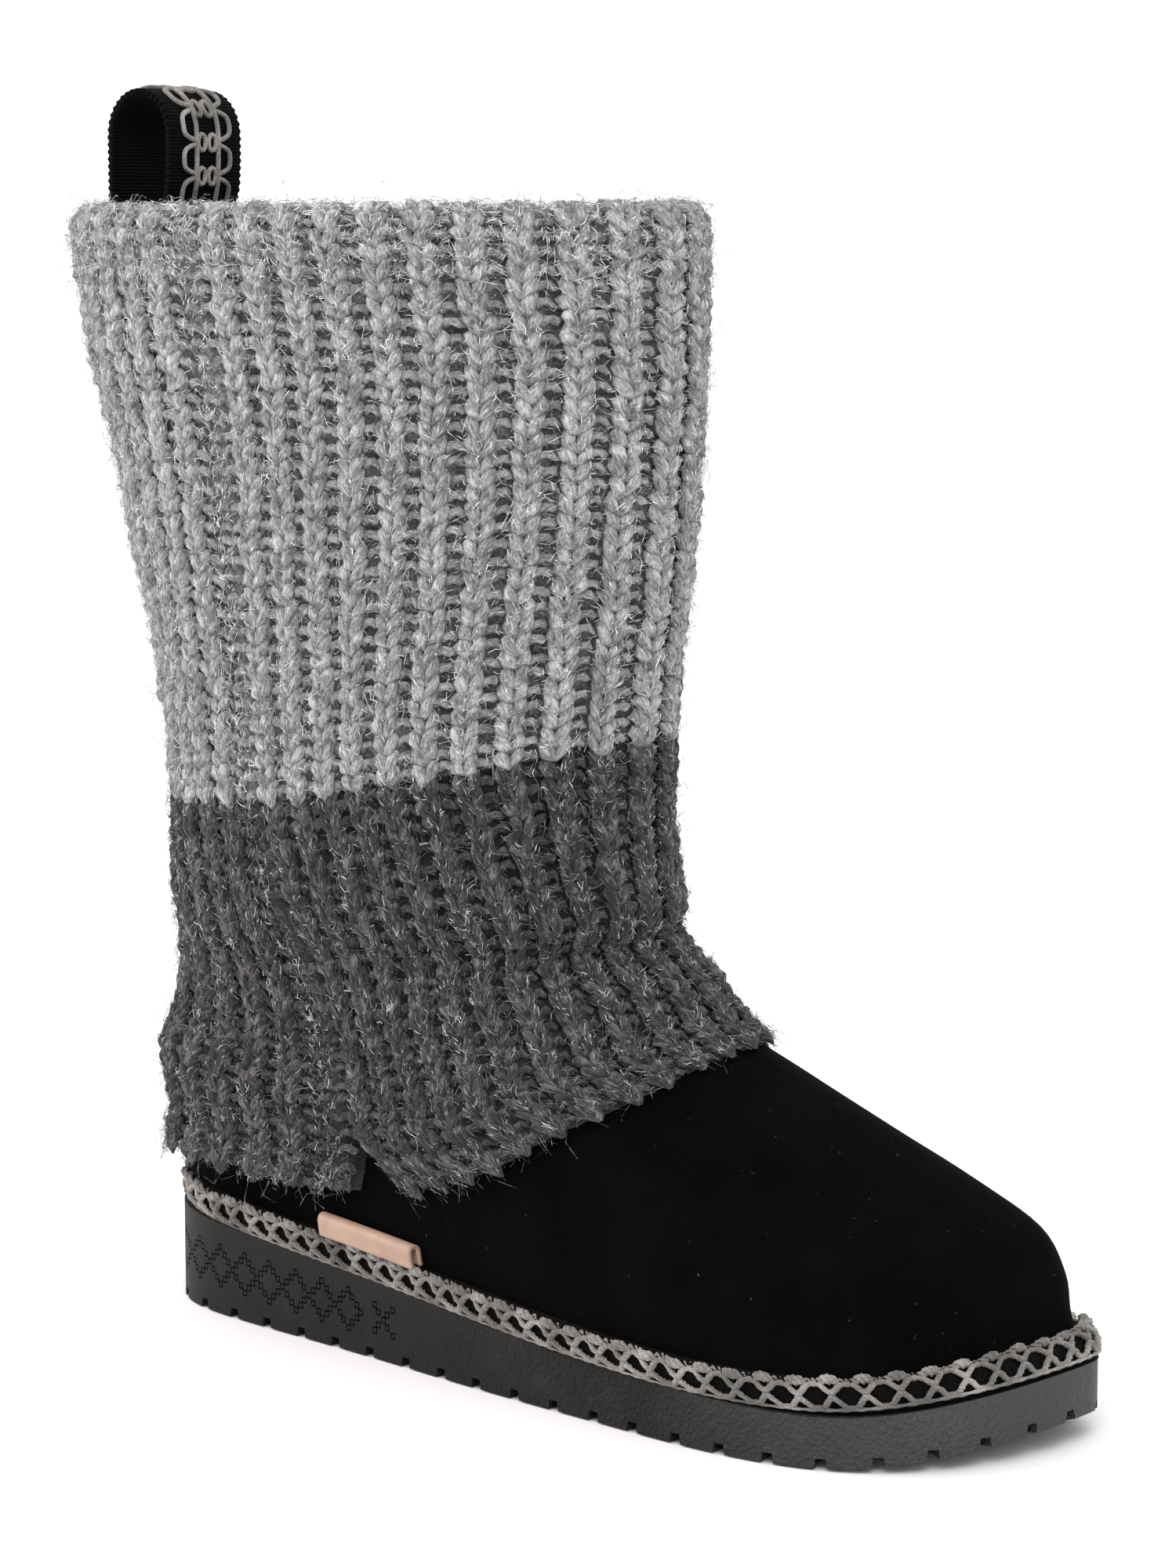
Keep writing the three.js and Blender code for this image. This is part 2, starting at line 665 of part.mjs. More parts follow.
function pullLoop() {
  const rear = 3.5 * CLEARANCE + LOOP_TAPE / 2;
  const radius = LOOP_SPAN / 2;
  const top = COLLAR_HEIGHT + UPPER_WALL / 2 + KNIT_WALL + LOOP_HEIGHT;
  const spring = top - radius;
  const low = COLLAR_HEIGHT - LOOP_TAIL;
  const arc = (from, to) =>
    Array.from({ length: 6 }, (_, i) => {
      const turn = Math.PI * between(from, to, i / 5);
      return { out: rear + radius - radius * Math.cos(turn), z: spring + radius * Math.sin(turn) };
    });
  const rise = [0, 0.2, 0.4, 0.6, 0.8].map((share) => ({ out: rear, z: between(low, spring, share) }));
  const fall = [1, 0.98, 0.9, 0.62, 0.3, 0.1].map((share, i) => ({
    out: rear + LOOP_SPAN * share,
    z: between(spring, low + LOOP_TAPE, (i + 1) / 6),
  }));
  const back = tapeHalf([...rise, ...arc(0, 0.55)]);
  const front = tapeHalf([...arc(0.45, 1), ...fall]);
  return back.add(front);
}

const boot = new THREE.Group();
boot.add(
  meshOf("outsole", outsole(), { color: 0x2b2b2d, roughness: 0.7, metalness: 0 }),
  meshOf("insole", insole(), { color: 0x3a393b, roughness: 1, metalness: 0 }),
  meshOf("upper", upper(), { color: 0x0c0c0d, roughness: 0.95, metalness: 0 }),
  meshOf("knit_sleeve", knitSleeve(), { color: 0x8d8d92, roughness: 1, metalness: 0 }),
  meshOf("woven_trim", wovenTrim(), { color: 0x5a5856, roughness: 1, metalness: 0 }),
  meshOf("side_tab", sideTab(), { color: 0xc9a695, roughness: 0.6, metalness: 0 }),
  meshOf("pull_loop", pullLoop(), { color: 0x1b1a1b, roughness: 1, metalness: 0 }),
);

export default boot;
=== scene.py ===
"""A pull-on winter boot for the right foot, dressed for its picture.

A rubber wedge sole carries a soft black upper. A chunky ribbed sleeve in two greys is folded over the
collar. A woven trim runs round the foot, a woven loop stands at the back and a folded leather tab sits at
the outer side.
Sizes are in millimetres until a piece is finished, in the frame of the CAD model.
"""

import math

import bmesh
import bpy
import numpy as np
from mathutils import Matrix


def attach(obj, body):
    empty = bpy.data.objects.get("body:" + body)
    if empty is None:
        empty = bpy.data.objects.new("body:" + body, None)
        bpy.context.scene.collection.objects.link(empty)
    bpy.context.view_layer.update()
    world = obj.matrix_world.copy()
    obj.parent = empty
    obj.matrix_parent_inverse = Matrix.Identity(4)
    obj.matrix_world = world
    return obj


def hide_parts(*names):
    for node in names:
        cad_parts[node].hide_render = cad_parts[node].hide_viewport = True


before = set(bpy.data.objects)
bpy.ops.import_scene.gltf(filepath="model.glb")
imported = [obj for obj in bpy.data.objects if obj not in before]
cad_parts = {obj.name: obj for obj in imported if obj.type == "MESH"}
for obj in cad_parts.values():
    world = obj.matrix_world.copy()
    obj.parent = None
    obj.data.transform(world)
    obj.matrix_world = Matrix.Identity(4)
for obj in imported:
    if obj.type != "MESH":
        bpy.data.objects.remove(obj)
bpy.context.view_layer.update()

# Camera and studio. The camera looks down a little on the boot's outer side and toe with a long lens, from
# about a metre. A pale floor, a pale room and soft lamps stand in for the white studio.
MM = 0.001
CAMERA_PLACE = (0.6205, -0.7405, 0.2784)
CAMERA_PITCH = 0.1371
CAMERA_HEADING = 0.7013
CAMERA_LENS = 90.64

camera_data = bpy.data.cameras.new("camera")
camera_data.sensor_fit = "VERTICAL"
camera_data.sensor_height = 36
camera_data.lens = CAMERA_LENS
camera = bpy.data.objects.new("camera", camera_data)
camera.location = CAMERA_PLACE
camera.rotation_euler = (math.pi / 2 - CAMERA_PITCH, 0, CAMERA_HEADING)
bpy.context.collection.objects.link(camera)
bpy.context.scene.camera = camera
bpy.context.scene.view_settings.view_transform = "Standard"


def shader_node(material, kind, options=None, **inputs):
    """A node of a material: options are its own settings, inputs are numbers, colours or other sockets."""
    tree = material.node_tree
    made = tree.nodes.new("ShaderNode" + kind)
    for key, value in (options or {}).items():
        setattr(made, key, value)
    for key, value in inputs.items():
        socket = made.inputs[key.replace("_", " ")]
        if isinstance(value, bpy.types.NodeSocket):
            tree.links.new(value, socket)
        else:
            socket.default_value = value
    return made


def grey(level, warmth=0.0):
    """A grey as a colour, a little warmer or cooler."""
    return (level * (1 + warmth), level, level * (1 - warmth), 1)


def new_material(name):
    material = bpy.data.materials.new(name)
    material.use_nodes = True
    material.node_tree.nodes.clear()
    return material


def surface(material, **inputs):
    """Closes a material with its main shader."""
    shader = shader_node(material, "BsdfPrincipled", **inputs)
    shader_node(material, "OutputMaterial", Surface=shader.outputs["BSDF"])
    return material


def ramp_colour(material, value, *stops):
    """Colours along a value: each stop is its place and its colour."""
    ramp = shader_node(material, "ValToRGB", Fac=value)
    elements = ramp.color_ramp.elements
    while len(elements) < len(stops):
        elements.new(0.5)
    for element, (place, colour) in zip(elements, stops):
        element.position = place
        element.color = colour
    return ramp.outputs["Color"]


def object_place(material):
    """A piece's own coordinates, in metres."""
    return shader_node(material, "TexCoord").outputs["Object"]


def noise(material, place, scale, detail=2.0, roughness=0.5):
    """Cloudy noise, with its scale per metre."""
    cloud = shader_node(
        material, "TexNoise", Vector=place, Scale=scale, Detail=detail, Roughness=roughness
    )
    return cloud.outputs["Fac"]


def bumped(material, height, strength, distance):
    """A face roughened by a height; the distance is in metres."""
    bump = shader_node(material, "Bump", Strength=strength, Distance=distance, Height=height)
    return bump.outputs["Normal"]


FLOOR_SIZE = 4
FLOOR_DROP = 0.0004
ROOM_LIGHT = 1.14

floor_material = new_material("floor_paper")
floor_cloud = noise(floor_material, object_place(floor_material), 3)
floor_tone = ramp_colour(floor_material, floor_cloud, (0.3, grey(0.88)), (0.7, grey(0.91)))
surface(floor_material, Base_Color=floor_tone, Roughness=0.7, Specular_IOR_Level=0.2)
floor_bm = bmesh.new()
bmesh.ops.create_grid(floor_bm, x_segments=4, y_segments=4, size=FLOOR_SIZE)
floor_mesh = bpy.data.meshes.new("floor")
floor_bm.to_mesh(floor_mesh)
floor_bm.free()
floor_mesh.materials.append(floor_material)
floor = bpy.data.objects.new("floor", floor_mesh)
floor.location.z = -FLOOR_DROP
bpy.context.collection.objects.link(floor)

room = bpy.data.worlds.new("room")
room.use_nodes = True
backdrop = room.node_tree.nodes["Background"]
backdrop.inputs["Color"].default_value = (1, 1, 1, 1)
backdrop.inputs["Strength"].default_value = ROOM_LIGHT
bpy.context.scene.world = room

WHITE_LIGHT = (1, 1, 1)
WARM_LIGHT = (1, 0.84, 0.82)
LAMPS = (
    {
        "name": "key",
        "place": (0.9, -1.1, 1.5),
        "aim": (-0.02, 0, 0.15),
        "size": 0.9,
        "power": 16,
        "colour": WHITE_LIGHT,
    },
    {
        "name": "side",
        "place": (-1.4, -0.8, 0.9),
        "aim": (-0.05, 0, 0.15),
        "size": 1.2,
        "power": 17,
        "colour": WARM_LIGHT,
    },
    {
        "name": "back",
        "place": (0.2, 1.5, 1.3),
        "aim": (0, 0, 0.1),
        "size": 1.2,
        "power": 5,
        "colour": WHITE_LIGHT,
    },
)
for lamp in LAMPS:
    lamp_data = bpy.data.lights.new(lamp["name"], "AREA")
    lamp_data.size = lamp["size"]
    lamp_data.energy = lamp["power"]
    lamp_data.color = lamp["colour"]
    lamp_object = bpy.data.objects.new(lamp["name"], lamp_data)
    lamp_object.location = lamp["place"]
    beam = np.subtract(lamp["aim"], lamp["place"])
    tilt = math.atan2(math.hypot(beam[0], beam[1]), -beam[2])
    lamp_object.rotation_euler = (tilt, 0, math.atan2(-beam[0], beam[1]))
    bpy.context.collection.objects.link(lamp_object)

# Outsole. One moulded wedge of dark rubber, thick at the heel, thin in front, with a little toe spring. Gaps
# run round its lower rim, bars cross the tread, and a chain of small squares is pressed into the outer side
# of its heel.
SOLE_LENGTH = 266
BALL_WIDTH = 98
HEEL_THICKNESS = 26.5
FOREFOOT_THICKNESS = 12
TOE_SPRING = 6.5
SPRING_START = 0.85
TOE_SWING = 0.18
SWING_START = 0.4
HEEL_X = -SOLE_LENGTH / 2
SOLE_STATIONS = {
    "along": (0, 0.31, 0.6, 0.8, 1),
    "outer": (0.35, 0.395, 0.475, 0.55, 0.575),
    "inner": (0.35, 0.335, 0.375, 0.405, 0.25),
    "wedge": (1, 0.58, 0.21, 0.03, 0),
}
SOLE_TOE_ROUND = 6.5
SOLE_HEEL_ROUND = 11
LUG_PITCH = 13.1
LUG_GAP = {"width": 3.2, "height": 2.4, "reach": 9}
LUG_FLARE = {"low": 1.25, "high": 0.8}
TREAD = {"margin": 13, "depth": 1.6}
SOLE_EDGE = {"angle": 1.1, "round": 1.2, "segments": 3, "smooth_angle": 0.6}
RIM_POINTS = 1200


def smooth(keys, values, at):
    """A smooth curve through a table's values, read at places on its keys.

    A place may have values of its own: they are then given in columns."""
    keys = np.asarray(keys, float)
    at = np.asarray(at, float)
    values = np.asarray(values, float)
    if values.ndim == 1:
        values = np.repeat(values[:, None], at.size, axis=1)
    spots = at.ravel()
    i = np.searchsorted(keys[1:-1], spots)
    before = np.maximum(i - 1, 0)
    after = np.minimum(i + 2, len(keys) - 1)
    each = np.arange(spots.size)
    start, end = values[i, each], values[i + 1, each]
    span = keys[i + 1] - keys[i]
    slope_start = (end - values[before, each]) / (keys[i + 1] - keys[before]) * span
    slope_end = (values[after, each] - start) / (keys[after] - keys[i]) * span
    s = (spots - keys[i]) / span
    curve = start * (1 + s * s * (2 * s - 3)) + end * s * s * (3 - 2 * s)
    curve += slope_start * s * (1 - s) ** 2 - slope_end * s * s * (1 - s)
    return curve.reshape(at.shape)


def along_sole(x):
    return np.clip((np.asarray(x, float) - HEEL_X) / SOLE_LENGTH, 0, 1)


def sole_bottom(x):
    past = np.maximum(along_sole(x) - SPRING_START, 0) / (1 - SPRING_START)
    return TOE_SPRING * past**2


def sole_top(x):
    wedge = np.maximum(smooth(SOLE_STATIONS["along"], SOLE_STATIONS["wedge"], along_sole(x)), 0)
    return sole_bottom(x) + FOREFOOT_THICKNESS + (HEEL_THICKNESS - FOREFOOT_THICKNESS) * wedge


def foot_line(share):
    """How far the foot's own line swings inward at a share of its length."""
    past = np.maximum(share - SWING_START, 0) / (1 - SWING_START)
    return TOE_SWING * BALL_WIDTH * past**2


def fullness(share, heel_round, toe_round):
    power = np.where(share < 0.5, heel_round, toe_round)
    return np.sqrt(np.maximum(1 - np.abs(2 * share - 1) ** power, 0))


def sole_rim(angle):
    """The sole's outline: angle goes from the heel's back round the outer side to the toe and on."""
    share = (1 - np.cos(angle)) / 2
    outer = smooth(SOLE_STATIONS["along"], SOLE_STATIONS["outer"], share)
    inner = smooth(SOLE_STATIONS["along"], SOLE_STATIONS["inner"], share)
    half = BALL_WIDTH * np.where(np.sin(angle) >= 0, -outer, inner)
    full = fullness(share, SOLE_HEEL_ROUND, SOLE_TOE_ROUND)
    return HEEL_X + share * SOLE_LENGTH, foot_line(share) + half * full


def laid_grid(across, up, place, merge=1e-3):
    """A grid of faces, each corner put where `place` says from its two shares, with seams closed."""
    bm = bmesh.new()
    bm.loops.layers.uv.new("UVMap")
    bmesh.ops.create_grid(bm, x_segments=across, y_segments=up, size=0.5, calc_uvs=True)
    shares = np.array([corner.co[:2] for corner in bm.verts]) + 0.5
    for corner, spot in zip(bm.verts, place(shares[:, 0], shares[:, 1])):
        corner.co = spot
    bmesh.ops.remove_doubles(bm, verts=bm.verts, dist=merge)
    bmesh.ops.dissolve_degenerate(bm, edges=bm.edges, dist=merge)
    return bm


def boot_piece(name, source, materials, nodes=()):
    """A finished piece of the boot from a bmesh or mesh in millimetres: smooth, with its finish and body."""
    if isinstance(source, bmesh.types.BMesh):
        mesh = bpy.data.meshes.new(name)
        source.to_mesh(mesh)
        source.free()
    else:
        mesh = source
        mesh.name = name
    places = np.empty(len(mesh.vertices) * 3, np.float32)
    mesh.vertices.foreach_get("co", places)
    mesh.vertices.foreach_set("co", places * MM)
    mesh.polygons.foreach_set("use_smooth", np.ones(len(mesh.polygons), bool))
    for material in materials:
        mesh.materials.append(material)
    mesh.update()
    piece = bpy.data.objects.new(name, mesh)
    bpy.context.collection.objects.link(piece)
    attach(piece, "root")
    if nodes:
        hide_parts(*nodes)
    return piece


def settle(piece):
    """Works a piece's modifiers into its mesh."""
    graph = bpy.context.evaluated_depsgraph_get()
    mesh = bpy.data.meshes.new_from_object(piece.evaluated_get(graph))
    piece.modifiers.clear()
    old = piece.data
    piece.data = mesh
    bpy.data.meshes.remove(old)


def thicken(piece, wall):
    """Gives a sheet its wall, inward from its face."""
    body = piece.modifiers.new("body", "SOLIDIFY")
    body.thickness = wall * MM
    body.offset = -1
    return body


def turn_faces(bm, upward):
    """Turns all of a sheet's faces up, or all of them down."""
    bmesh.ops.recalc_face_normals(bm, faces=bm.faces)
    if (sum(face.normal.z for face in bm.faces) > 0) != upward:
        bmesh.ops.reverse_faces(bm, faces=bm.faces)


RIM_STEPS = 110
ACROSS_STEPS = 8


def sole_plan(along, across):
    """A corner of the sole's plan: the outline's two sides joined by straight lines across."""
    x, outer = sole_rim(np.pi * along)
    _, inner = sole_rim(2 * np.pi - np.pi * along)
    y = outer + (inner - outer) * across
    return np.stack([x, y, sole_bottom(x)], axis=1)


sole_bm = laid_grid(RIM_STEPS, ACROSS_STEPS, sole_plan)
turn_faces(sole_bm, upward=False)
raised = bmesh.ops.extrude_face_region(sole_bm, geom=sole_bm.faces[:], use_keep_orig=True)
upper_faces = [item for item in raised["geom"] if isinstance(item, bmesh.types.BMFace)]
bmesh.ops.reverse_faces(sole_bm, faces=upper_faces)
for corner in {corner for face in upper_faces for corner in face.verts}:
    corner.co.z = float(sole_top(corner.co.x))
bmesh.ops.recalc_face_normals(sole_bm, faces=sole_bm.faces)
sole_bm.normal_update()
sharp = [
    edge
    for edge in sole_bm.edges
    if edge.is_manifold and edge.calc_face_angle() > SOLE_EDGE["angle"]
]
bmesh.ops.bevel(
    sole_bm,
    geom=sharp,
    offset=SOLE_EDGE["round"],
    offset_type="OFFSET",
    affect="EDGES",
    segments=SOLE_EDGE["segments"],
    profile=0.5,
    material=-1,
    clamp_overlap=True,
)

rim_angles = np.linspace(0, 2 * np.pi, RIM_POINTS)
rim_x, rim_y = sole_rim(rim_angles)
rim_steps = np.hypot(np.diff(rim_x), np.diff(rim_y))
rim_lengths = np.concatenate([[0], np.cumsum(rim_steps)])
gap_count = round(rim_lengths[-1] / LUG_PITCH)
cut_bm = bmesh.new()


def rim_spot(length):
    """A place at a length along the sole's outline, and the outline's heading there."""
    k = max(int(np.searchsorted(rim_lengths, length)), 1)
    heading = math.atan2(rim_y[k] - rim_y[k - 1], rim_x[k] - rim_x[k - 1])
    return rim_x[k], rim_y[k], heading


def add_block(bm, middle, size, heading):
    """A block standing on its middle, turned to a heading."""
    made = bmesh.ops.create_cube(bm, size=1)
    cosine, sine = math.cos(heading), math.sin(heading)
    for corner in made["verts"]:
        x, y, z = (corner.co[axis] * size[axis] for axis in range(3))
        x *= LUG_FLARE["low"] if z < 0 else LUG_FLARE["high"]
        corner.co = (
            middle[0] + x * cosine - y * sine,
            middle[1] + x * sine + y * cosine,
            middle[2] + z,
        )


for number in range(gap_count):
    x, y, heading = rim_spot((number + 0.5) * rim_lengths[-1] / gap_count)
    gap_size = (LUG_GAP["width"], 2 * LUG_GAP["reach"], 2 * LUG_GAP["height"])
    add_block(cut_bm, (x, y, float(sole_bottom(x))), gap_size, heading)
bars_each_way = int((SOLE_LENGTH / 2 - 2 * TREAD["margin"]) // LUG_PITCH)
for number in range(-bars_each_way, bars_each_way):
    bar_x = (number + 0.5) * LUG_PITCH
    share = float(along_sole(bar_x))
    outer, inner = (
        BALL_WIDTH * float(smooth(SOLE_STATIONS["along"], SOLE_STATIONS[side], share)) - TREAD["margin"]
        for side in ("outer", "inner")
    )
    middle = (bar_x, float(foot_line(share)) + (inner - outer) / 2, float(sole_bottom(bar_x)))
    add_block(cut_bm, middle, (LUG_GAP["width"], outer + inner, 2 * TREAD["depth"]), 0)


def cut_from(piece, cutter_bm):
    """Cuts a bmesh of blocks, in millimetres, out of a piece."""
    cutter_mesh = bpy.data.meshes.new("cutter")
    bmesh.ops.scale(cutter_bm, vec=(MM, MM, MM), verts=cutter_bm.verts)
    cutter_bm.to_mesh(cutter_mesh)
    cutter_bm.free()
    cutter = bpy.data.objects.new("cutter", cutter_mesh)
    bpy.context.collection.objects.link(cutter)
    cut = piece.modifiers.new("cut", "BOOLEAN")
    cut.operation = "DIFFERENCE"
    cut.solver = "EXACT"
    cut.use_self = True
    cut.object = cutter
    settle(piece)
    bpy.data.objects.remove(cutter)
    bpy.data.meshes.remove(cutter_mesh)


# The pressed chain is a chart of little squares in outline: its two lines cross and part by turns, and one
# cross stands free at its front end
CHAIN_CELL = 1.65
CHAIN_SQUARE = {"width": 1.75, "line": 0.52, "depth": 0.9, "proud": 0.4}
CHAIN_FRONT_X = -46.6
CHAIN_LEVEL = 0.53
CHAIN_HALF = 3
CHAIN_CROSS = {"column": 5, "reach": 2}


def add_square(bm, middle, heading):
    """A square ring that stands across a wall, as deep as the chain is pressed."""
    width, line, proud = CHAIN_SQUARE["width"], CHAIN_SQUARE["line"], CHAIN_SQUARE["proud"]
    square = bmesh.ops.create_grid(bm, x_segments=1, y_segments=1, size=width / 2)
    face = square["verts"][0].link_faces[0]
    rim = bmesh.ops.inset_individual(bm, faces=[face], thickness=line)["faces"]
    bmesh.ops.delete(bm, geom=[face], context="FACES_ONLY")
    raised = bmesh.ops.extrude_face_region(bm, geom=rim, use_keep_orig=True)["geom"]
    top = [item for item in raised if isinstance(item, bmesh.types.BMVert)]
    for corner in top:
        corner.co.z = proud + CHAIN_SQUARE["depth"]
    cosine, sine = math.cos(heading), math.sin(heading)
    for corner in set(top) | {corner for face in rim for corner in face.verts}:
        x, up, inward = corner.co.x, corner.co.y, corner.co.z - proud
        corner.co = (
            middle[0] + x * cosine - inward * sine,
            middle[1] + x * sine + inward * cosine,
            middle[2] + up,
        )


def chain_rows(column):
    """The chart's rows that are filled in a column, counted from the chain's middle."""
    away = abs((column + CHAIN_HALF) % (2 * CHAIN_HALF) - CHAIN_HALF)
    return {away, -away}


outer_half = RIM_POINTS // 2
chain_end = rim_lengths[int(np.argmin(np.abs(rim_x[:outer_half] - CHAIN_FRONT_X)))]
chain_columns = int(chain_end / CHAIN_CELL)
chart = [(-column, row) for column in range(chain_columns) for row in chain_rows(column)]
reach = CHAIN_CROSS["reach"]
for step in range(-reach, reach + 1):
    chart += [(CHAIN_CROSS["column"] + step, row) for row in {step, -step}]
for column, row in chart:
    x, y, heading = rim_spot(chain_end + column * CHAIN_CELL)
    level = CHAIN_LEVEL * float(sole_top(x)) + row * CHAIN_CELL
    add_square(cut_bm, (x, y, level), heading)
bmesh.ops.recalc_face_normals(cut_bm, faces=cut_bm.faces)

rubber = new_material("sole_rubber")
rubber_place = object_place(rubber)
rubber_grain = noise(rubber, rubber_place, 950, detail=2)
rubber_wear = noise(rubber, rubber_place, 55, detail=6, roughness=0.65)
rubber_colour = ramp_colour(
    rubber,
    rubber_wear,
    (0.3, grey(0.005)),
    (0.55, grey(0.008, 0.03)),
    (0.8, grey(0.018, 0.04)),
)
rubber_x = shader_node(rubber, "SeparateXYZ", Vector=rubber_place).outputs["X"]


def toward_toe(start, end, low, high):
    """A value that goes from low to high between two places along the sole, in metres."""
    mapped = shader_node(
        rubber, "MapRange", Value=rubber_x, From_Min=start, From_Max=end, To_Min=low, To_Max=high
    )
    return mapped.outputs["Result"]


surface(
    rubber,
    Base_Color=rubber_colour,
    Roughness=0.55,
    Specular_IOR_Level=toward_toe(0.05, 0.12, 0.15, 0.75),
    Normal=bumped(rubber, rubber_grain, toward_toe(-0.02, 0.05, 0.15, 1.0), 0.0012),
)
outsole = boot_piece("outsole_rubber", sole_bm, [rubber], ["outsole"])
cut_from(outsole, cut_bm)
outsole.data.polygons.foreach_set("use_smooth", np.ones(len(outsole.data.polygons), bool))
outsole.data.set_sharp_from_angle(angle=SOLE_EDGE["smooth_angle"])

# Upper. One foot and shaft of soft black cloth with a fleece lining, sewn to the sole all round and open at
# the collar. Its sections are level in the shaft and lean over the foot, as the cloth is cut.
TRIM_THICKNESS = 3.2
CLEARANCE = 0.3
LEDGE = TRIM_THICKNESS + CLEARANCE
INSTEP_RISE = 92
COLLAR_HEIGHT = 281
COLLAR_LENGTH = 188
COLLAR_WIDTH = 96
SHAFT_BACKSET = 75
SHAFT_LEAN = 14
UPPER_WALL = 2.4
UPPER_STEPS = (168, 75)
FOOT_SECTIONS = {
    "back": (0, -0.0053, -0.00941, -0.0115, -0.0135, -0.0135, -0.0135, -0.0115, -0.00941, -0.00735),
    "front": (1, 0.983, 0.978, 0.955, 0.893, 0.805, 0.71, 0.613, 0.562, 0.531),
    "rise_back": (0, 0.09, 0.17, 0.26, 0.34, 0.43, 0.51, 0.6, 0.69, 0.78),
    "rise_front": (0, 0.11, 0.23, 0.36, 0.47, 0.57, 0.67, 0.77, 0.88, 1),
    "heel": (0.345, 0.367, 0.373, 0.375, 0.37, 0.366, 0.361, 0.361, 0.366, 0.376),
    "waist": (0.412, 0.425, 0.427, 0.421, 0.411, 0.401, 0.396, 0.396, 0.406, 0.416),
    "ball": (0.53, 0.547, 0.545, 0.531, 0.506, 0.476, 0.456, 0.446, 0.446, 0.446),
    "toe": (0.575, 0.567, 0.542, 0.496, 0.456, 0.426, 0.416, 0.416, 0.426, 0.436),
    "toe_round": (6.5, 5.8, 5, 4.2, 3.6, 3.2, 3, 2.8, 2.6, 2.4),
    "heel_round": (10, 9, 8, 7, 6, 5, 4.2, 3.5, 3, 2.7),
    "slim": (1, 1, 1, 0.95, 0.9, 0.8, 0.65, 0.5, 0.35, 0.2),
}
SHAFT_SECTIONS = {
    "up": (0.1, 0.25, 0.42, 0.6, 0.79, 1),
    "length": (0.75, 0.755, 0.8, 0.875, 0.935, 1),
    "width": (0.84, 0.84, 0.86, 0.895, 0.94, 1),
    "lean": (0.02, 0.14, 0.25, 0.43, 0.65, 1),
}
SHAFT_ROUND = 2
HALF_WIDTHS = ("heel", "waist", "ball", "toe")
WIDTH_PLACES = (0, 0.38, 0.74, 1)
INNER_SLIM = (0, 0.14, 0.23, 0.43)

foot_table = {name: np.array(values, float) for name, values in FOOT_SECTIONS.items()}
shaft_table = {name: np.array(values, float) for name, values in SHAFT_SECTIONS.items()}
ledge_length = SOLE_LENGTH - 2 * LEDGE
instep_level = HEEL_THICKNESS + INSTEP_RISE * foot_table["rise_back"][-1]
shaft_middle = -SHAFT_BACKSET + SHAFT_LEAN * (1 - shaft_table["lean"])
shaft_rise = instep_level + (COLLAR_HEIGHT - instep_level) * shaft_table["up"] - HEEL_THICKNESS
shaft_half = shaft_table["length"] * COLLAR_LENGTH / 2
shaft_rows = len(shaft_rise)
foot_rows = len(foot_table["back"])


def stacked(foot, shaft):
    return np.concatenate([np.broadcast_to(foot, foot_rows), np.broadcast_to(shaft, shaft_rows)])


upper_table = {
    "back": stacked(HEEL_X + LEDGE + foot_table["back"] * ledge_length, shaft_middle - shaft_half),
    "front": stacked(HEEL_X + LEDGE + foot_table["front"] * ledge_length, shaft_middle + shaft_half),
    "rise_back": stacked(foot_table["rise_back"] * INSTEP_RISE, shaft_rise),
    "rise_front": stacked(foot_table["rise_front"] * INSTEP_RISE, shaft_rise),
    "toe_round": stacked(foot_table["toe_round"], SHAFT_ROUND),
    "heel_round": stacked(foot_table["heel_round"], SHAFT_ROUND),
    "slim": stacked(foot_table["slim"], 0),
    "ledge": stacked(LEDGE, 0),
    "level": stacked(0, 1),
}
for half_width in HALF_WIDTHS:
    upper_table[half_width] = stacked(
        foot_table[half_width] * BALL_WIDTH, shaft_table["width"] * COLLAR_WIDTH / 2
    )
ROW_NUMBERS = np.arange(foot_rows + shaft_rows)
COLLAR_ROW = len(ROW_NUMBERS) - 1


def upper_point(row, angle):
    """Points of the upper's outer face: row counts the sections up, angle goes round the foot."""
    row, angle = np.broadcast_arrays(np.asarray(row, float), np.asarray(angle, float))
    at = {name: smooth(ROW_NUMBERS, column, row) for name, column in upper_table.items()}
    share = (1 - np.cos(angle)) / 2
    outer = np.sin(angle) >= 0
    x = at["back"] + (at["front"] - at["back"]) * share
    widths = np.stack(
        [
            (at[name] * np.where(outer, 1, 1 - at["slim"] * INNER_SLIM[i])).ravel()
            for i, name in enumerate(HALF_WIDTHS)
        ]
    )
    half = smooth(WIDTH_PLACES, widths, share) - at["ledge"]
    side = np.where(outer, -1, 1)
    full = fullness(share, at["heel_round"], at["toe_round"])
    y = at["slim"] * foot_line(share) + side * half * full
    base = sole_top(x) + (HEEL_THICKNESS - sole_top(x)) * at["level"]
    z = base + at["rise_back"] + (at["rise_front"] - at["rise_back"]) * share
    return np.stack([x, y, z], axis=-1)


def unit(vectors):
    return vectors / np.maximum(np.linalg.norm(vectors, axis=-1, keepdims=True), 1e-12)


def upper_normal(row, angle):
    row, angle = np.broadcast_arrays(np.asarray(row, float), np.asarray(angle, float))
    step = 0.02
    above = upper_point(np.minimum(row + step, COLLAR_ROW), angle)
    up = above - upper_point(np.maximum(row - step, 0), angle)
    around = upper_point(row, angle + step) - upper_point(row, angle - step)
    normal = unit(np.cross(around, up))
    level = (row <= 0) | (row >= COLLAR_ROW)
    normal[level, 2] = 0
    return unit(normal)


def off_upper(row, angle, distance):
    """Points at a distance out of the upper's face."""
    distance = np.broadcast_to(distance, np.broadcast(row, angle).shape)
    return upper_point(row, angle) + upper_normal(row, angle) * distance[..., None]


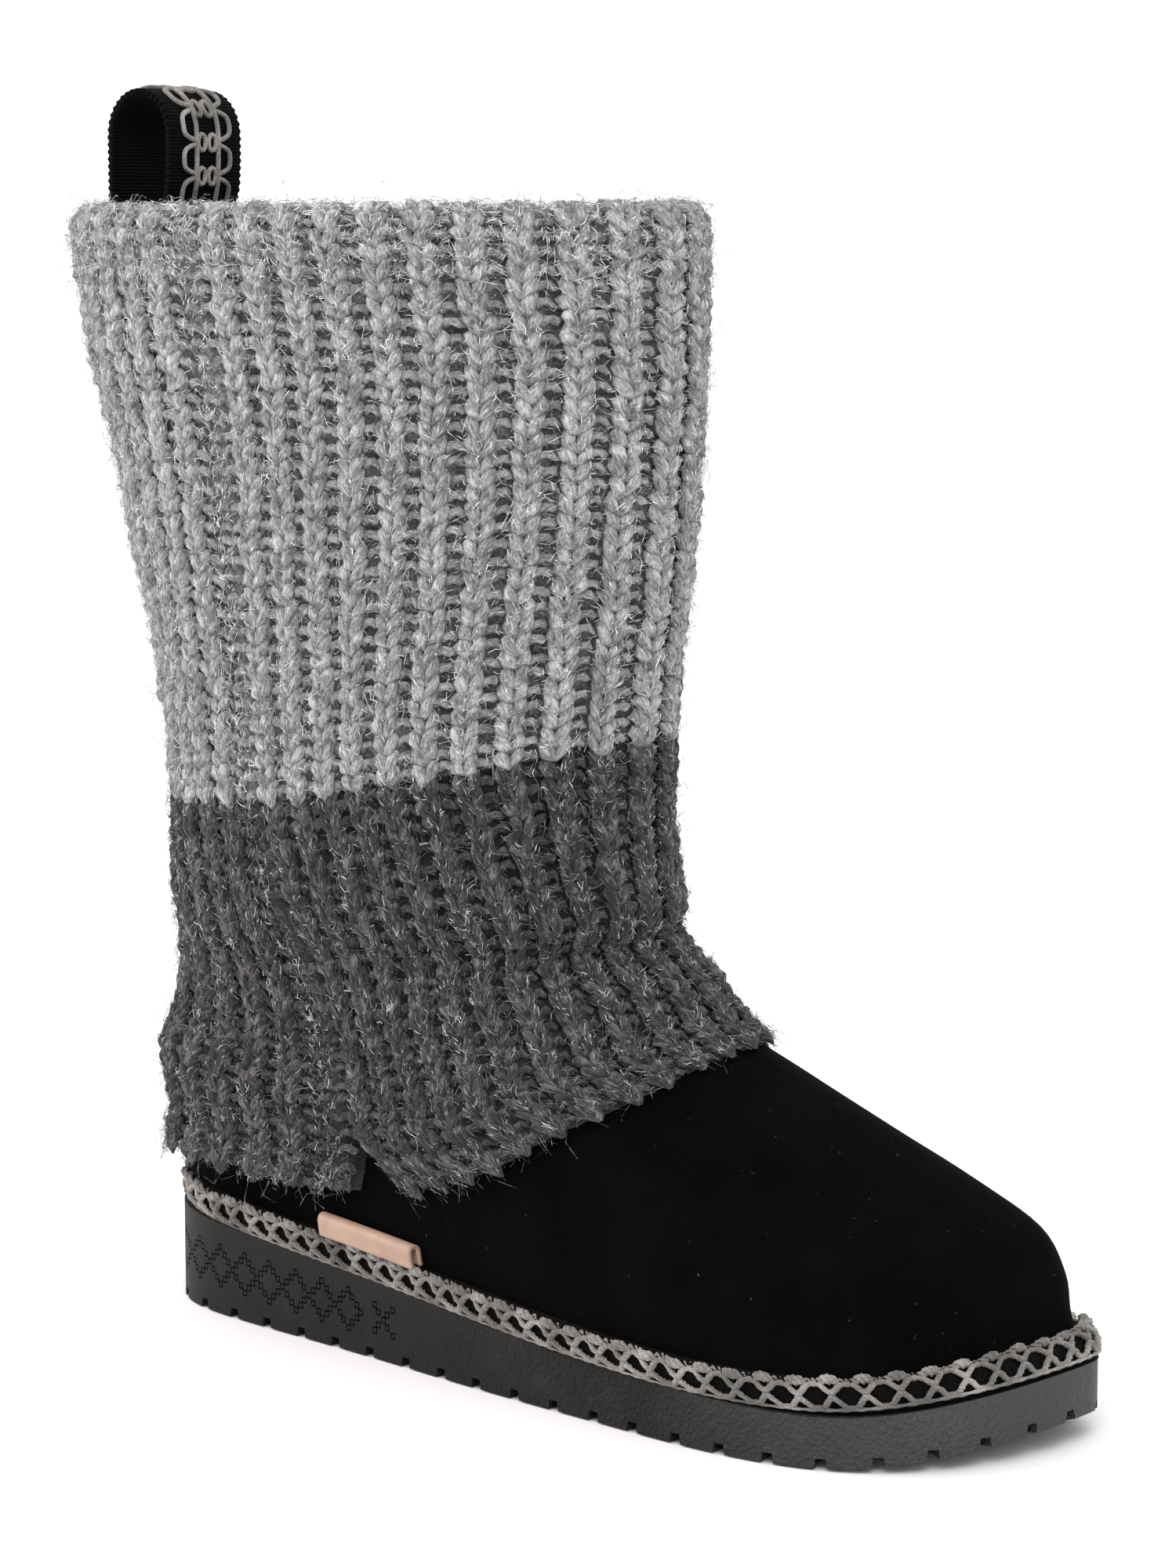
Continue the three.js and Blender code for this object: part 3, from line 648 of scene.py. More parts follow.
# Soft creases over the foot, each with its place, spread and depth: troughs are below zero
CREASES = (
    {"row": 5.2, "share": 0.66, "side": 1, "spread_row": 0.35, "spread_share": 0.12, "depth": -0.8},
    {"row": 4.2, "share": 0.5, "side": 1, "spread_row": 0.4, "spread_share": 0.14, "depth": -0.9},
    {"row": 3.2, "share": 0.42, "side": 1, "spread_row": 0.5, "spread_share": 0.1, "depth": 0.8},
    {"row": 2.4, "share": 0.8, "side": 1, "spread_row": 0.6, "spread_share": 0.08, "depth": 0.7},
    {"row": 4.6, "share": 0.72, "side": -1, "spread_row": 0.4, "spread_share": 0.12, "depth": -0.8},
    {"row": 3.0, "share": 0.55, "side": -1, "spread_row": 0.5, "spread_share": 0.12, "depth": 0.7},
)


def creased(row, angle):
    share = (1 - np.cos(angle)) / 2
    side = np.where(np.sin(angle) >= 0, 1, -1)
    depth = np.zeros_like(row)
    for crease in CREASES:
        away = ((row - crease["row"]) / crease["spread_row"]) ** 2
        away += ((share - crease["share"]) / crease["spread_share"]) ** 2
        depth += np.where(side == crease["side"], crease["depth"] * np.exp(-away), 0)
    return depth


def upper_wall(around, up):
    angle = 2 * np.pi * around
    row = COLLAR_ROW * up
    place = off_upper(row, angle, creased(row, angle))
    place[:, 2] += CLEARANCE
    return place


suede = new_material("black_suede")
suede_place = object_place(suede)
suede_nap = noise(suede, suede_place, 38, detail=5, roughness=0.6)
suede_fibre = noise(suede, suede_place, 3800, detail=2)
suede_tone = ramp_colour(suede, suede_nap, (0.3, grey(0.0012)), (0.7, grey(0.0028)))
suede_specks = noise(suede, suede_place, 900, detail=0)
suede_lint = ramp_colour(suede, suede_specks, (0.85, grey(0)), (0.89, grey(1)))
suede_colour = shader_node(suede, "Mix", {"data_type": "RGBA"}, Factor=suede_lint)
suede.node_tree.links.new(suede_tone, suede_colour.inputs[6])
suede_colour.inputs[7].default_value = grey(0.035)
surface(
    suede,
    Base_Color=suede_colour.outputs[2],
    Roughness=0.95,
    Specular_IOR_Level=0.02,
    Sheen_Weight=0.01,
    Sheen_Roughness=0.3,
    Normal=bumped(suede, suede_fibre, 0.35, 0.0003),
)
fleece = new_material("lining_fleece")
fleece_curl = noise(fleece, object_place(fleece), 420, detail=4, roughness=0.6)
fleece_colour = ramp_colour(fleece, fleece_curl, (0.3, grey(0.03)), (0.7, grey(0.09)))
surface(
    fleece,
    Base_Color=fleece_colour,
    Roughness=1.0,
    Sheen_Weight=0.3,
    Normal=bumped(fleece, fleece_curl, 0.9, 0.002),
)

upper_bm = laid_grid(*UPPER_STEPS, upper_wall)
boot_upper = boot_piece("upper_suede", upper_bm, [suede, fleece], ["upper"])
thicken(boot_upper, UPPER_WALL).material_offset = 1

# Insole. A soft pad covered with the same fleece as the lining. It lies loose on the sole inside the foot.
INSOLE_THICKNESS = 5
INSOLE_RISE = 4.5
INSOLE_GAP = 1
INSOLE_CROWN = 0.25
INSOLE_STEPS = (48, 14)
PAD_THICKNESS = 3.6


def lengths_along(points):
    """Lengths run along a line of points, or up each column of a table of points."""
    steps = np.linalg.norm(np.diff(points, axis=0), axis=-1)
    return np.concatenate([np.zeros((1, *steps.shape[1:])), np.cumsum(steps, axis=0)])


# Distances up the lowest part of the upper's wall, up to its fourth section, all round the foot
climb_rows = np.linspace(0, 3, 121)
climb_angles = np.linspace(0, 2 * np.pi, 361)
climb_heights = lengths_along(upper_point(climb_rows[:, None], climb_angles[None, :]))


def row_at_rise(angle, rise):
    """The upper's row at a distance up its wall from the sole."""
    angle, rise = np.broadcast_arrays(np.asarray(angle, float), np.asarray(rise, float))
    turn = np.mod(angle, 2 * np.pi) / (2 * np.pi) * (len(climb_angles) - 1)
    low = np.minimum(turn.astype(int), len(climb_angles) - 2)
    part = (turn - low)[..., None]
    heights = climb_heights.T[low] * (1 - part) + climb_heights.T[low + 1] * part
    flat_heights = heights.reshape(-1, len(climb_rows))
    found = [np.interp(r, h, climb_rows) for r, h in zip(rise.ravel(), flat_heights)]
    return np.array(found).reshape(rise.shape)


def inside_wall(angle):
    """The insole's edge, a little inside the upper's lining."""
    return off_upper(row_at_rise(angle, INSOLE_RISE), angle, -UPPER_WALL - INSOLE_GAP)


def dome(share):
    """One in the middle of a span, falling to zero at its ends."""
    return np.sqrt(np.clip(4 * share * (1 - share), 0, 1))


def insole_top(along, across):
    outer = inside_wall(np.pi * along)
    inner = inside_wall(2 * np.pi - np.pi * along)
    place = outer + (inner - outer) * across[:, None]
    crown = np.minimum(dome(across) * dome(along) * 2, 1)
    thickness = INSOLE_THICKNESS * (1 - INSOLE_CROWN + INSOLE_CROWN * crown)
    place[:, 2] = sole_top(place[:, 0]) + CLEARANCE + thickness
    return place


insole_bm = laid_grid(*INSOLE_STEPS, insole_top)
turn_faces(insole_bm, upward=True)
insole = boot_piece("insole_pad", insole_bm, [fleece], ["insole"])
thicken(insole, PAD_THICKNESS)

# Woven trim. A padded black tape stands on the sole's ledge all round the foot. Grey yarn is worked over it:
# an upper and a lower strand come together between dark eyes, with knots over them and a thin cord below.
TRIM_HEIGHT = 8.6
TRIM_REPEATS = 79
TRIM_MIDDLE = 4
trim_angles = np.linspace(0, 2 * np.pi, 721)
trim_line = off_upper(row_at_rise(trim_angles, TRIM_MIDDLE), trim_angles, CLEARANCE + TRIM_THICKNESS)
trim_lengths = lengths_along(trim_line)
TRIM_PITCH = trim_lengths[-1] / TRIM_REPEATS


def trim_place(flat):
    """Puts points of the flat trim, with x along it, y up and z out, round the foot."""
    angle = np.interp(np.mod(flat[:, 0], trim_lengths[-1]), trim_lengths, trim_angles)
    row = row_at_rise(angle, np.clip(flat[:, 1], 0, None))
    place = off_upper(row, angle, CLEARANCE + flat[:, 2])
    place[:, 2] += CLEARANCE + np.minimum(flat[:, 1], 0)
    return place


def strands(name, paths, thickness, flat=False):
    """Yarn along paths, as one mesh; each path's points are x, y, z and, if given, how full the yarn is.

    Flat strands are ribbons, each with a turn of its own."""
    rng = np.random.default_rng(len(paths))
    curve = bpy.data.curves.new(name, "CURVE")
    curve.dimensions = "3D"
    if flat:
        curve.extrude = thickness / 2
    else:
        curve.bevel_depth = thickness / 2
        curve.bevel_resolution = 1
        curve.use_fill_caps = True
    for path in paths:
        spline = curve.splines.new("POLY")
        spline.points.add(len(path) - 1)
        corners = np.hstack([path[:, :3], np.ones((len(path), 1))])
        spline.points.foreach_set("co", corners.ravel())
        if path.shape[1] > 3:
            spline.points.foreach_set("radius", path[:, 3])
        if flat:
            spline.points.foreach_set("tilt", np.full(len(path), rng.uniform(0, np.pi)))
        spline.use_smooth = True
        spline.use_cyclic_u = False
    holder = bpy.data.objects.new(name, curve)
    bpy.context.collection.objects.link(holder)
    graph = bpy.context.evaluated_depsgraph_get()
    mesh = bpy.data.meshes.new_from_object(holder.evaluated_get(graph))
    bpy.data.objects.remove(holder)
    bpy.data.curves.remove(curve)
    return mesh


def lay(mesh, place):
    """Moves a flat mesh's points to their place on the boot."""
    flat = np.empty(len(mesh.vertices) * 3, np.float32)
    mesh.vertices.foreach_get("co", flat)
    laid = place(flat.reshape(-1, 3).astype(float))
    mesh.vertices.foreach_set("co", laid.astype(np.float32).ravel())
    mesh.update()
    return mesh


TRIM_PROFILE = {
    "turn": (0, 0.2, 0.4, 0.6, 0.8, 1),
    "up": (0, 0, 0.5, 0.92, 1, 0),
    "out": (0, 0.8, 0.95, 0.75, 0, 0),
}
TAPE_INSET = 0.6
TAPE_STEPS = (380, 10)
TAPE_MERGE = 0.02
JUST_ROUND = 0.9999999


def trim_core(around, turn):
    """The tape's face, which stops just short of its start, so that its end isn't read as its start."""
    up = np.interp(turn, TRIM_PROFILE["turn"], TRIM_PROFILE["up"]) * (TRIM_HEIGHT - TAPE_INSET)
    out = np.interp(turn, TRIM_PROFILE["turn"], TRIM_PROFILE["out"]) * (TRIM_THICKNESS - TAPE_INSET)
    return trim_place(np.stack([around * trim_lengths[-1] * JUST_ROUND, up, out], axis=1))


tape = new_material("trim_tape")
tape_weave = noise(tape, object_place(tape), 1500, detail=2)
tape_colour = ramp_colour(tape, tape_weave, (0.35, grey(0.001)), (0.7, grey(0.004)))
surface(
    tape,
    Base_Color=tape_colour,
    Roughness=0.95,
    Specular_IOR_Level=0.1,
    Normal=bumped(tape, tape_weave, 0.8, 0.0005),
)

trim_bm = laid_grid(*TAPE_STEPS, trim_core, merge=TAPE_MERGE)
boot_piece("trim_tape", trim_bm, [tape], ["woven_trim"])

YARN = 1.35
REPEAT_STEPS = 16
repeat = np.arange(TRIM_REPEATS * REPEAT_STEPS + 1) / REPEAT_STEPS
from_eye = np.abs(np.mod(repeat + 0.5, 1) - 0.5)


def eased(wave, firmness):
    """A wave that stays longer at its ends."""
    return np.tanh(firmness * wave) / np.tanh(firmness)


def trim_strand(up, out, full):
    """A strand's path once round the foot, from how far up and out it runs and how full it is."""
    return np.stack(np.broadcast_arrays(repeat * TRIM_PITCH, up, out, full), axis=1)


# How far up and out the strands run, from the middle of an eye (0) to where they come together (0.5)
EYE_PLACES = (0, 0.16, 0.27, 0.44, 0.5)
CAP_RISE = (6.6, 6.4, 5.9, 4.5, 4.3)
LEG_RISE = (0.9, 1.1, 1.8, 3.3, 3.5)
EYE_OUT = (-0.6, -0.4, 0.1, 0.4, 0.3)
KNOT_PLACES = (0, 0.18, 0.3, 0.42, 0.5)
KNOT_RISE = (6.9, 6.9, 7.3, 7.8, 7.5)
KNOT_OUT = (-1.9, -1.6, -0.6, 0.0, -0.2)
WOBBLE = {"spread": 0.28, "every": 0.5, "leg_share": 0.6}
EYE_PLY = {"radius": 0.36, "turns": 6, "inset": 0.2}
KNOT_PLY = {"up": 0.7, "out": 0.5, "turns": 3, "inset": 0.1}
THIN_CORD = {"rise": 0.55, "inset": 0.4}
YARN_FULL = {
    "eye": {"mean": 0.84, "swing": 0.16, "swings": 1},
    "knot": {"mean": 0.75, "swing": 0.3, "swings": 1},
    "cord": {"mean": 0.62, "swing": 0.14, "swings": 2},
}

trim_rng = np.random.default_rng(21)
wobble_at = np.arange(0, TRIM_REPEATS + WOBBLE["every"], WOBBLE["every"])
wobble = np.interp(repeat, wobble_at, trim_rng.normal(0, WOBBLE["spread"], len(wobble_at)))
cap_rise = np.interp(from_eye, EYE_PLACES, CAP_RISE) + wobble
leg_rise = np.interp(from_eye, EYE_PLACES, LEG_RISE) + wobble * WOBBLE["leg_share"]
eye_out = TRIM_THICKNESS - EYE_PLY["inset"] + np.interp(from_eye, EYE_PLACES, EYE_OUT)
knot_rise = np.interp(from_eye, KNOT_PLACES, KNOT_RISE) + wobble
knot_out = TRIM_THICKNESS - KNOT_PLY["inset"] + np.interp(from_eye, KNOT_PLACES, KNOT_OUT)
turn = 2 * np.pi * repeat
eye_ply_up = EYE_PLY["radius"] * np.cos(EYE_PLY["turns"] * turn)
eye_ply_out = EYE_PLY["radius"] * np.sin(EYE_PLY["turns"] * turn)
knot_ply_up = KNOT_PLY["up"] * np.cos(KNOT_PLY["turns"] * turn)
knot_ply_out = KNOT_PLY["out"] * np.sin(KNOT_PLY["turns"] * turn)
eye_full, knot_full, cord_full = (
    full["mean"] - full["swing"] * np.cos(full["swings"] * turn) for full in YARN_FULL.values()
)
trim_paths = []
for rise in (cap_rise, leg_rise):
    for ply in (1, -1):
        trim_paths.append(trim_strand(rise + ply * eye_ply_up, eye_out + ply * eye_ply_out, eye_full))
for ply in (1, -1):
    trim_paths.append(trim_strand(knot_rise + ply * knot_ply_up, knot_out + ply * knot_ply_out, knot_full))
trim_paths.append(trim_strand(THIN_CORD["rise"], TRIM_THICKNESS - THIN_CORD["inset"], cord_full))

braid_yarn = new_material("braid_yarn")
braid_place = object_place(braid_yarn)
braid_fibre = noise(braid_yarn, braid_place, 2400, detail=3, roughness=0.6)
braid_tone = noise(braid_yarn, braid_place, 90, detail=3)
braid_mix = shader_node(braid_yarn, "Math", {"operation": "MULTIPLY_ADD"}, Value=braid_fibre)
braid_mix.inputs[1].default_value = 0.7
braid_yarn.node_tree.links.new(braid_tone, braid_mix.inputs[2])
braid_colour = ramp_colour(
    braid_yarn,
    braid_mix.outputs["Value"],
    (0.6, grey(0.06, 0.08)),
    (0.85, grey(0.17, 0.07)),
    (1.0, grey(0.32, 0.06)),
)
surface(
    braid_yarn,
    Base_Color=braid_colour,
    Roughness=0.95,
    Sheen_Weight=0.2,
    Normal=bumped(braid_yarn, braid_fibre, 0.7, 0.0005),
)
trim_yarn = lay(strands("trim_yarn", trim_paths, YARN), trim_place)
boot_piece("trim_yarn", trim_yarn, [braid_yarn])

# Knit sleeve. One tube knitted in a chunky rib, charcoal below and light grey above, with a slit at each
# side seam. It hangs over the shaft, rolls over the collar and goes down inside it.
KNIT_WALL = 4.6
# How far the stitches' middle lies off what the sleeve rests on
KNIT_OUT = KNIT_WALL * 0.62
KNIT_TURN_IN = 24
SLOUCH = 6
SLOUCH_EVERYWHERE = 0.12
RIBS = {"front": 21, "back": 17}
ROWS = {"dark": 22, "light": 32, "roll": 4, "inside": 5}
HEM_LINE = {
    "along": (0, 0.16, 0.34, 0.46, 0.7, 0.88, 1),
    "outer": (1.4, 1.8, 2.1, 2.85, 4.8, 5.85, 6.5),
    "inner": (1.4, 1.65, 2.1, 2.8, 4.9, 6.2, 6.5),
}
FOLDS = (
    {"section": 9.7, "along": 1, "spread_up": 0.6, "spread_along": 0.4, "height": 0.4},
    {"section": 8.6, "along": 1, "spread_up": 0.45, "spread_along": 0.4, "height": -0.25},
    {"section": 9.8, "along": 0.3, "spread_up": 0.9, "spread_along": 0.3, "height": 0.35},
    {"section": 7.5, "along": 0.8, "spread_up": 0.6, "spread_along": 0.25, "height": 0.4},
    {"section": 4.9, "along": 0, "spread_up": 1.2, "spread_along": 0.35, "height": 0.75},
    {"section": 1.8, "along": 0, "spread_up": 1, "spread_along": 0.35, "height": 0.5},
    {"section": 14.4, "along": 0, "spread_up": 0.5, "spread_along": 0.6, "height": 0.3},
)
SEAM_LINE = {"z": (30, 53, 88, 144, 246, 279), "x": (-49, -45, -51, -76, -79, -87)}
BOUNDARY = {"x": (-150, -121, -76, -16, 8, 20), "z": (133, 133.6, 136.5, 148.5, 154.7, 155.5)}
SLIT = {"top": 56.5, "depth": 17, "front": 24, "back": 1}
HEM_TAPER = {"depth": 0.6, "rows": 0.9, "start": 0.55, "span": 0.35}
WALL_STEPS = 160


def slouch(row, angle):
    """How far the loose sleeve stands off the shaft; it lies close at the collar."""
    share = (1 - np.cos(angle)) / 2
    gathered = np.full(np.shape(row), SLOUCH_EVERYWHERE)
    for fold in FOLDS:
        away = ((row - fold["section"]) / fold["spread_up"]) ** 2
        away = away + ((share - fold["along"]) / fold["spread_along"]) ** 2
        gathered = gathered + fold["height"] * np.exp(-away)
    near_collar = np.clip(COLLAR_ROW - row, 0, 1)
    return SLOUCH * np.maximum(gathered, 0) * near_collar**2 * (3 - 2 * near_collar)


ring = np.linspace(0, 2 * np.pi, 721)[:-1]
ring_share = (1 - np.cos(ring)) / 2
hem_rows = np.where(
    np.sin(ring) >= 0,
    smooth(HEM_LINE["along"], HEM_LINE["outer"], ring_share),
    smooth(HEM_LINE["along"], HEM_LINE["inner"], ring_share),
)
wall_rows = hem_rows + (COLLAR_ROW - hem_rows) * np.linspace(0, 1, WALL_STEPS)[:, None]
wall_angles = np.broadcast_to(ring, wall_rows.shape)
knit_middle = CLEARANCE + KNIT_OUT + slouch(wall_rows, wall_angles)
toward_front = np.clip((ring_share - HEM_TAPER["start"]) / HEM_TAPER["span"], 0, 1)
near_hem = np.exp(-(((wall_rows - hem_rows) / HEM_TAPER["rows"]) ** 2))
knit_middle *= 1 - HEM_TAPER["depth"] * toward_front * near_hem
knit_wall = off_upper(wall_rows, wall_angles, knit_middle)
knit_wall[..., 2] += CLEARANCE


def at_lengths(points, spots):
    """Points at lengths along a line."""
    lengths = lengths_along(points)
    return np.stack([np.interp(spots, lengths, points[:, axis]) for axis in range(3)], axis=1)


def evened(points, rows):
    """A line of points, two to a row, at equal steps."""
    return at_lengths(points, np.linspace(0, 1, 2 * rows + 1) * lengths_along(points)[-1])


boundary_z = np.interp(knit_wall[..., 0], BOUNDARY["x"], BOUNDARY["z"])
below = np.argmax(knit_wall[..., 2] >= boundary_z, axis=0)
dark_columns, light_columns = [], []
for column, change in enumerate(below):
    dark_columns.append(evened(knit_wall[: change + 1, column], ROWS["dark"]))
    light_columns.append(evened(knit_wall[change:, column], ROWS["light"]))
dark_part = np.stack(dark_columns, axis=1)
light_part = np.stack(light_columns, axis=1)
collar_out = upper_normal(COLLAR_ROW, ring)
collar_middle = off_upper(COLLAR_ROW, ring, -UPPER_WALL / 2)
collar_middle[:, 2] += CLEARANCE
roll_radius = UPPER_WALL / 2 + CLEARANCE + KNIT_OUT
roll_turns = np.linspace(0, np.pi, 2 * ROWS["roll"] + 1)[1:]
roll_part = np.stack(
    [
        collar_middle
        + collar_out * roll_radius * math.cos(turn)
        + np.array([0, 0, roll_radius * math.sin(turn)])
        for turn in roll_turns
    ]
)
row_height = COLLAR_HEIGHT - upper_point(COLLAR_ROW - 1, 0)[2]
inside_rows = COLLAR_ROW - KNIT_TURN_IN / row_height * np.linspace(0, 1, 2 * ROWS["inside"] + 1)[1:]
inside_part = np.stack([off_upper(row, ring, -UPPER_WALL - CLEARANCE - KNIT_OUT) for row in inside_rows])
inside_part[..., 2] += CLEARANCE
knit_rings = np.concatenate([dark_part, light_part[1:], roll_part, inside_part])
ALL_ROWS = sum(ROWS.values())

# Columns: equal steps round from the outer seam over the front to the inner seam, and on round the back
COLUMN_STEPS = 4
front_columns = RIBS["front"] * COLUMN_STEPS
back_columns = RIBS["back"] * COLUMN_STEPS


def seam_index(points, outer):
    """Where a ring crosses the seam line on one side."""
    wanted = np.interp(points[:, 2], SEAM_LINE["z"], SEAM_LINE["x"])
    side = np.sin(ring) >= 0 if outer else np.sin(ring) < 0
    return int(np.argmin(np.where(side, np.abs(points[:, 0] - wanted), np.inf)))


def along_ring(points, start, end, count, gap):
    """Evenly spaced points from one seam to the other, kept off the seams by a gap."""
    if end <= start:
        end += len(points)
    picked = points[np.arange(start, end + 1) % len(points)]
    return at_lengths(picked, np.linspace(gap, lengths_along(picked)[-1] - gap, count + 1))


front_table, back_table = [], []
for points in knit_rings:
    outer_seam = seam_index(points, True)
    inner_seam = seam_index(points, False)
    depth = np.clip((SLIT["top"] - points[outer_seam, 2]) / SLIT["depth"], 0, 1)
    front_table.append(along_ring(points, outer_seam, inner_seam, front_columns, SLIT["front"] * depth))
    back_table.append(along_ring(points, inner_seam, outer_seam, back_columns, SLIT["back"] * depth))
knit_tables = {"front": np.array(front_table), "back": np.array(back_table)}


def softened(table, passes=2):
    """Evens out a table of points up its columns."""
    for _ in range(passes):
        inner = (table[:-2] + 2 * table[1:-1] + table[2:]) / 4
        table = np.concatenate([table[:1], inner, table[-1:]])
    return table


knit_tables = {name: softened(table) for name, table in knit_tables.items()}


def table_normals(name):
    """Outward directions of a table's surface, taken across the seams as well."""
    other = {"front": "back", "back": "front"}[name]
    table = knit_tables[name]
    whole = np.concatenate([knit_tables[other][:, -2:-1], table, knit_tables[other][:, 1:2]], axis=1)
    around = whole[:, 2:] - whole[:, :-2]
    up = np.gradient(table, axis=0)
    return unit(np.cross(around, up))


knit_normals = {name: table_normals(name) for name in knit_tables}


def read_table(table, column, row):
    """A table's value between its columns and rows."""
    column = np.clip(column, 0, table.shape[1] - 1.001)
    row = np.clip(row, 0, table.shape[0] - 1.001)
    i, j = column.astype(int), row.astype(int)
    a, b = (column - i)[:, None], (row - j)[:, None]
    low = table[j, i] * (1 - a) + table[j, i + 1] * a
    high = table[j + 1, i] * (1 - a) + table[j + 1, i + 1] * a
    return low * (1 - b) + high * b


RIB_PITCH = 11
ROW_PITCH = 4.5

# The lowest rows are drawn up a little, so that their yarn doesn't hang below the sleeve's edge
HEM_RISE = 0.5
LAID_ROWS = {
    "counted": (-4, 0, ROWS["dark"], ALL_ROWS),
    "at": (HEM_RISE - 4, HEM_RISE, ROWS["dark"], ALL_ROWS),
}


def knit_place(name):
    """Puts points of the flat knit, with x across its ribs, y up its rows and z out, on the sleeve.

    What is below the first row goes on straight down past the hem."""

    def place(flat):
        column = flat[:, 0] / RIB_PITCH * COLUMN_STEPS
        row = 2 * np.interp(flat[:, 1] / ROW_PITCH, LAID_ROWS["counted"], LAID_ROWS["at"])
        spot = read_table(knit_tables[name], column, row)
        hem = read_table(knit_tables[name], column, np.zeros(len(flat)))
        above = read_table(knit_tables[name], column, np.ones(len(flat)))
        spot = spot + (above - hem) * np.minimum(row, 0)[:, None]
        out = unit(read_table(knit_normals[name], column, row))
        return spot + out * flat[:, 2:3]

    return place


SEAM_SINK = {"depth": 1.4, "width": 1.8}
RIB_FORM = {"height": 0.75, "crest": 0.44, "sink": 1.2}
CLOTH_START = 0.25
CLOTH_WALL = 1.2


def rib_depth(across):
    """How far the cloth stands out or sinks at a place on a rib."""
    return RIB_FORM["height"] * np.cos(2 * np.pi * (across - RIB_FORM["crest"])) - RIB_FORM["sink"]


def knit_cloth(name):
    width = RIBS[name] * RIB_PITCH

    def place(across, up):
        height = (CLOTH_START + up * (ALL_ROWS - CLOTH_START)) * ROW_PITCH
        flat = np.stack([across * width, height, rib_depth(across * RIBS[name])], axis=1)
        from_seam = np.minimum(flat[:, 0], width - flat[:, 0])
        flat[:, 2] -= SEAM_SINK["depth"] * np.exp(-((from_seam / SEAM_SINK["width"]) ** 2))
        return knit_place(name)(flat)

    return laid_grid(RIBS[name] * COLUMN_STEPS, ALL_ROWS, place)


def yarn_material(name, dark, middle, light, warmth, follow=True):
    """Fuzzy heathered yarn in three tones, with its fibres along the yarn where it has a length."""
    material = new_material(name)
    coordinates = shader_node(material, "TexCoord")
    place = coordinates.outputs["Object"]
    heather = noise(material, place, 230, detail=3, roughness=0.6)
    if follow:
        along = shader_node(material, "Mapping", Vector=coordinates.outputs["UV"], Scale=(4, 18, 1))
        shifted = shader_node(material, "VectorMath", {"operation": "MULTIPLY_ADD"})
        shifted.inputs[1].default_value = (260, 260, 260)
        material.node_tree.links.new(place, shifted.inputs[0])
        material.node_tree.links.new(along.outputs["Vector"], shifted.inputs[2])
        fibre = noise(material, shifted.outputs["Vector"], 1, detail=5, roughness=0.75)
    else:
        fibre = noise(material, place, 1500, detail=4, roughness=0.7)
    mix = shader_node(material, "Mix", {"data_type": "FLOAT"}, Factor=0.35)
    material.node_tree.links.new(fibre, mix.inputs[2])
    material.node_tree.links.new(heather, mix.inputs[3])
    colour = ramp_colour(
        material,
        mix.outputs[0],
        (0.4, grey(dark, warmth)),
        (0.5, grey(middle, warmth)),
        (0.61, grey(light, warmth)),
    )
    return surface(
        material,
        Base_Color=colour,
        Roughness=1.0,
        Specular_IOR_Level=0.05,
        Sheen_Weight=0.2,
        Sheen_Roughness=0.5,
        Normal=bumped(material, fibre, 1.0, 0.0012),
    )


dark_yarn = yarn_material("charcoal_yarn", 0.003, 0.022, 0.22, 0.05)
light_yarn = yarn_material("light_grey_yarn", 0.12, 0.38, 0.78, -0.012)
# The cloth under the stitches is the same yarn, toned far darker than the stitches: painted shade in the
# troughs between them
dark_cloth_painted_shade = yarn_material("charcoal_cloth_painted_shade", 0.003, 0.01, 0.03, 0.04, follow=False)
light_cloth_painted_shade = yarn_material("light_grey_cloth_painted_shade", 0.05, 0.13, 0.25, -0.012, follow=False)


def knit_base(name):
    bm = knit_cloth(name)
    uv = bm.loops.layers.uv["UVMap"]
    for face in bm.faces:
        height = sum(loop[uv].uv.y for loop in face.loops) / len(face.loops)
        face.material_index = 0 if height * ALL_ROWS < ROWS["dark"] else 1
    return bm


sleeve_yarns = {"front": [], "back": []}
for name in ("front", "back"):
    sleeve_cloth = boot_piece(
        f"sleeve_cloth_{name}", knit_base(name), [dark_cloth_painted_shade, light_cloth_painted_shade], ["knit_sleeve"]
    )
    thicken(sleeve_cloth, CLOTH_WALL)

# Stitches, as shares of a rib across and of a row up, with their arch out of the cloth in millimetres
STITCH_YARN = 3.5
LEG_STEPS = 5
LEG = {"middle": 0.34, "reach": 0.22, "foot": -0.3, "height": 1.45, "arch": 1.3, "lean": 0.3}
LEG_FULL = {"share": (0, 0.3, 0.65, 1), "full": (0.4, 0.85, 1.08, 0.5)}
BUMP = {"foot": 0.3, "height": 0.35, "sink": 1.1, "arch": 0.9}
BUMP_FULL = {"share": (0, 0.5, 1), "full": (0.5, 0.75, 0.5)}


def leg_at(side, share):
    """The middle of the yarn on one side of a knit stitch, and how full it is, from its foot to its head."""
    x = RIB_PITCH * (LEG["middle"] + side * LEG["reach"] * np.sin(np.pi / 2 * share))
    y = ROW_PITCH * (LEG["foot"] + LEG["height"] * share)
    z = LEG["arch"] * np.sin(np.pi * share**0.8) - LEG["lean"] * share
    full = np.interp(share, LEG_FULL["share"], LEG_FULL["full"])
    return np.stack(np.broadcast_arrays(x, y, z, full), axis=-1)


def bump_at(start, width, share):
    """The middle of the yarn of a purl bump: a low arch across the rib."""
    x = RIB_PITCH * (start + width * share)
    y = ROW_PITCH * (BUMP["foot"] + BUMP["height"] * np.sin(np.pi * share))
    z = -BUMP["sink"] + BUMP["arch"] * np.sin(np.pi * share)
    full = np.interp(share, BUMP_FULL["share"], BUMP_FULL["full"])
    return np.stack(np.broadcast_arrays(x, y, z, full), axis=-1)


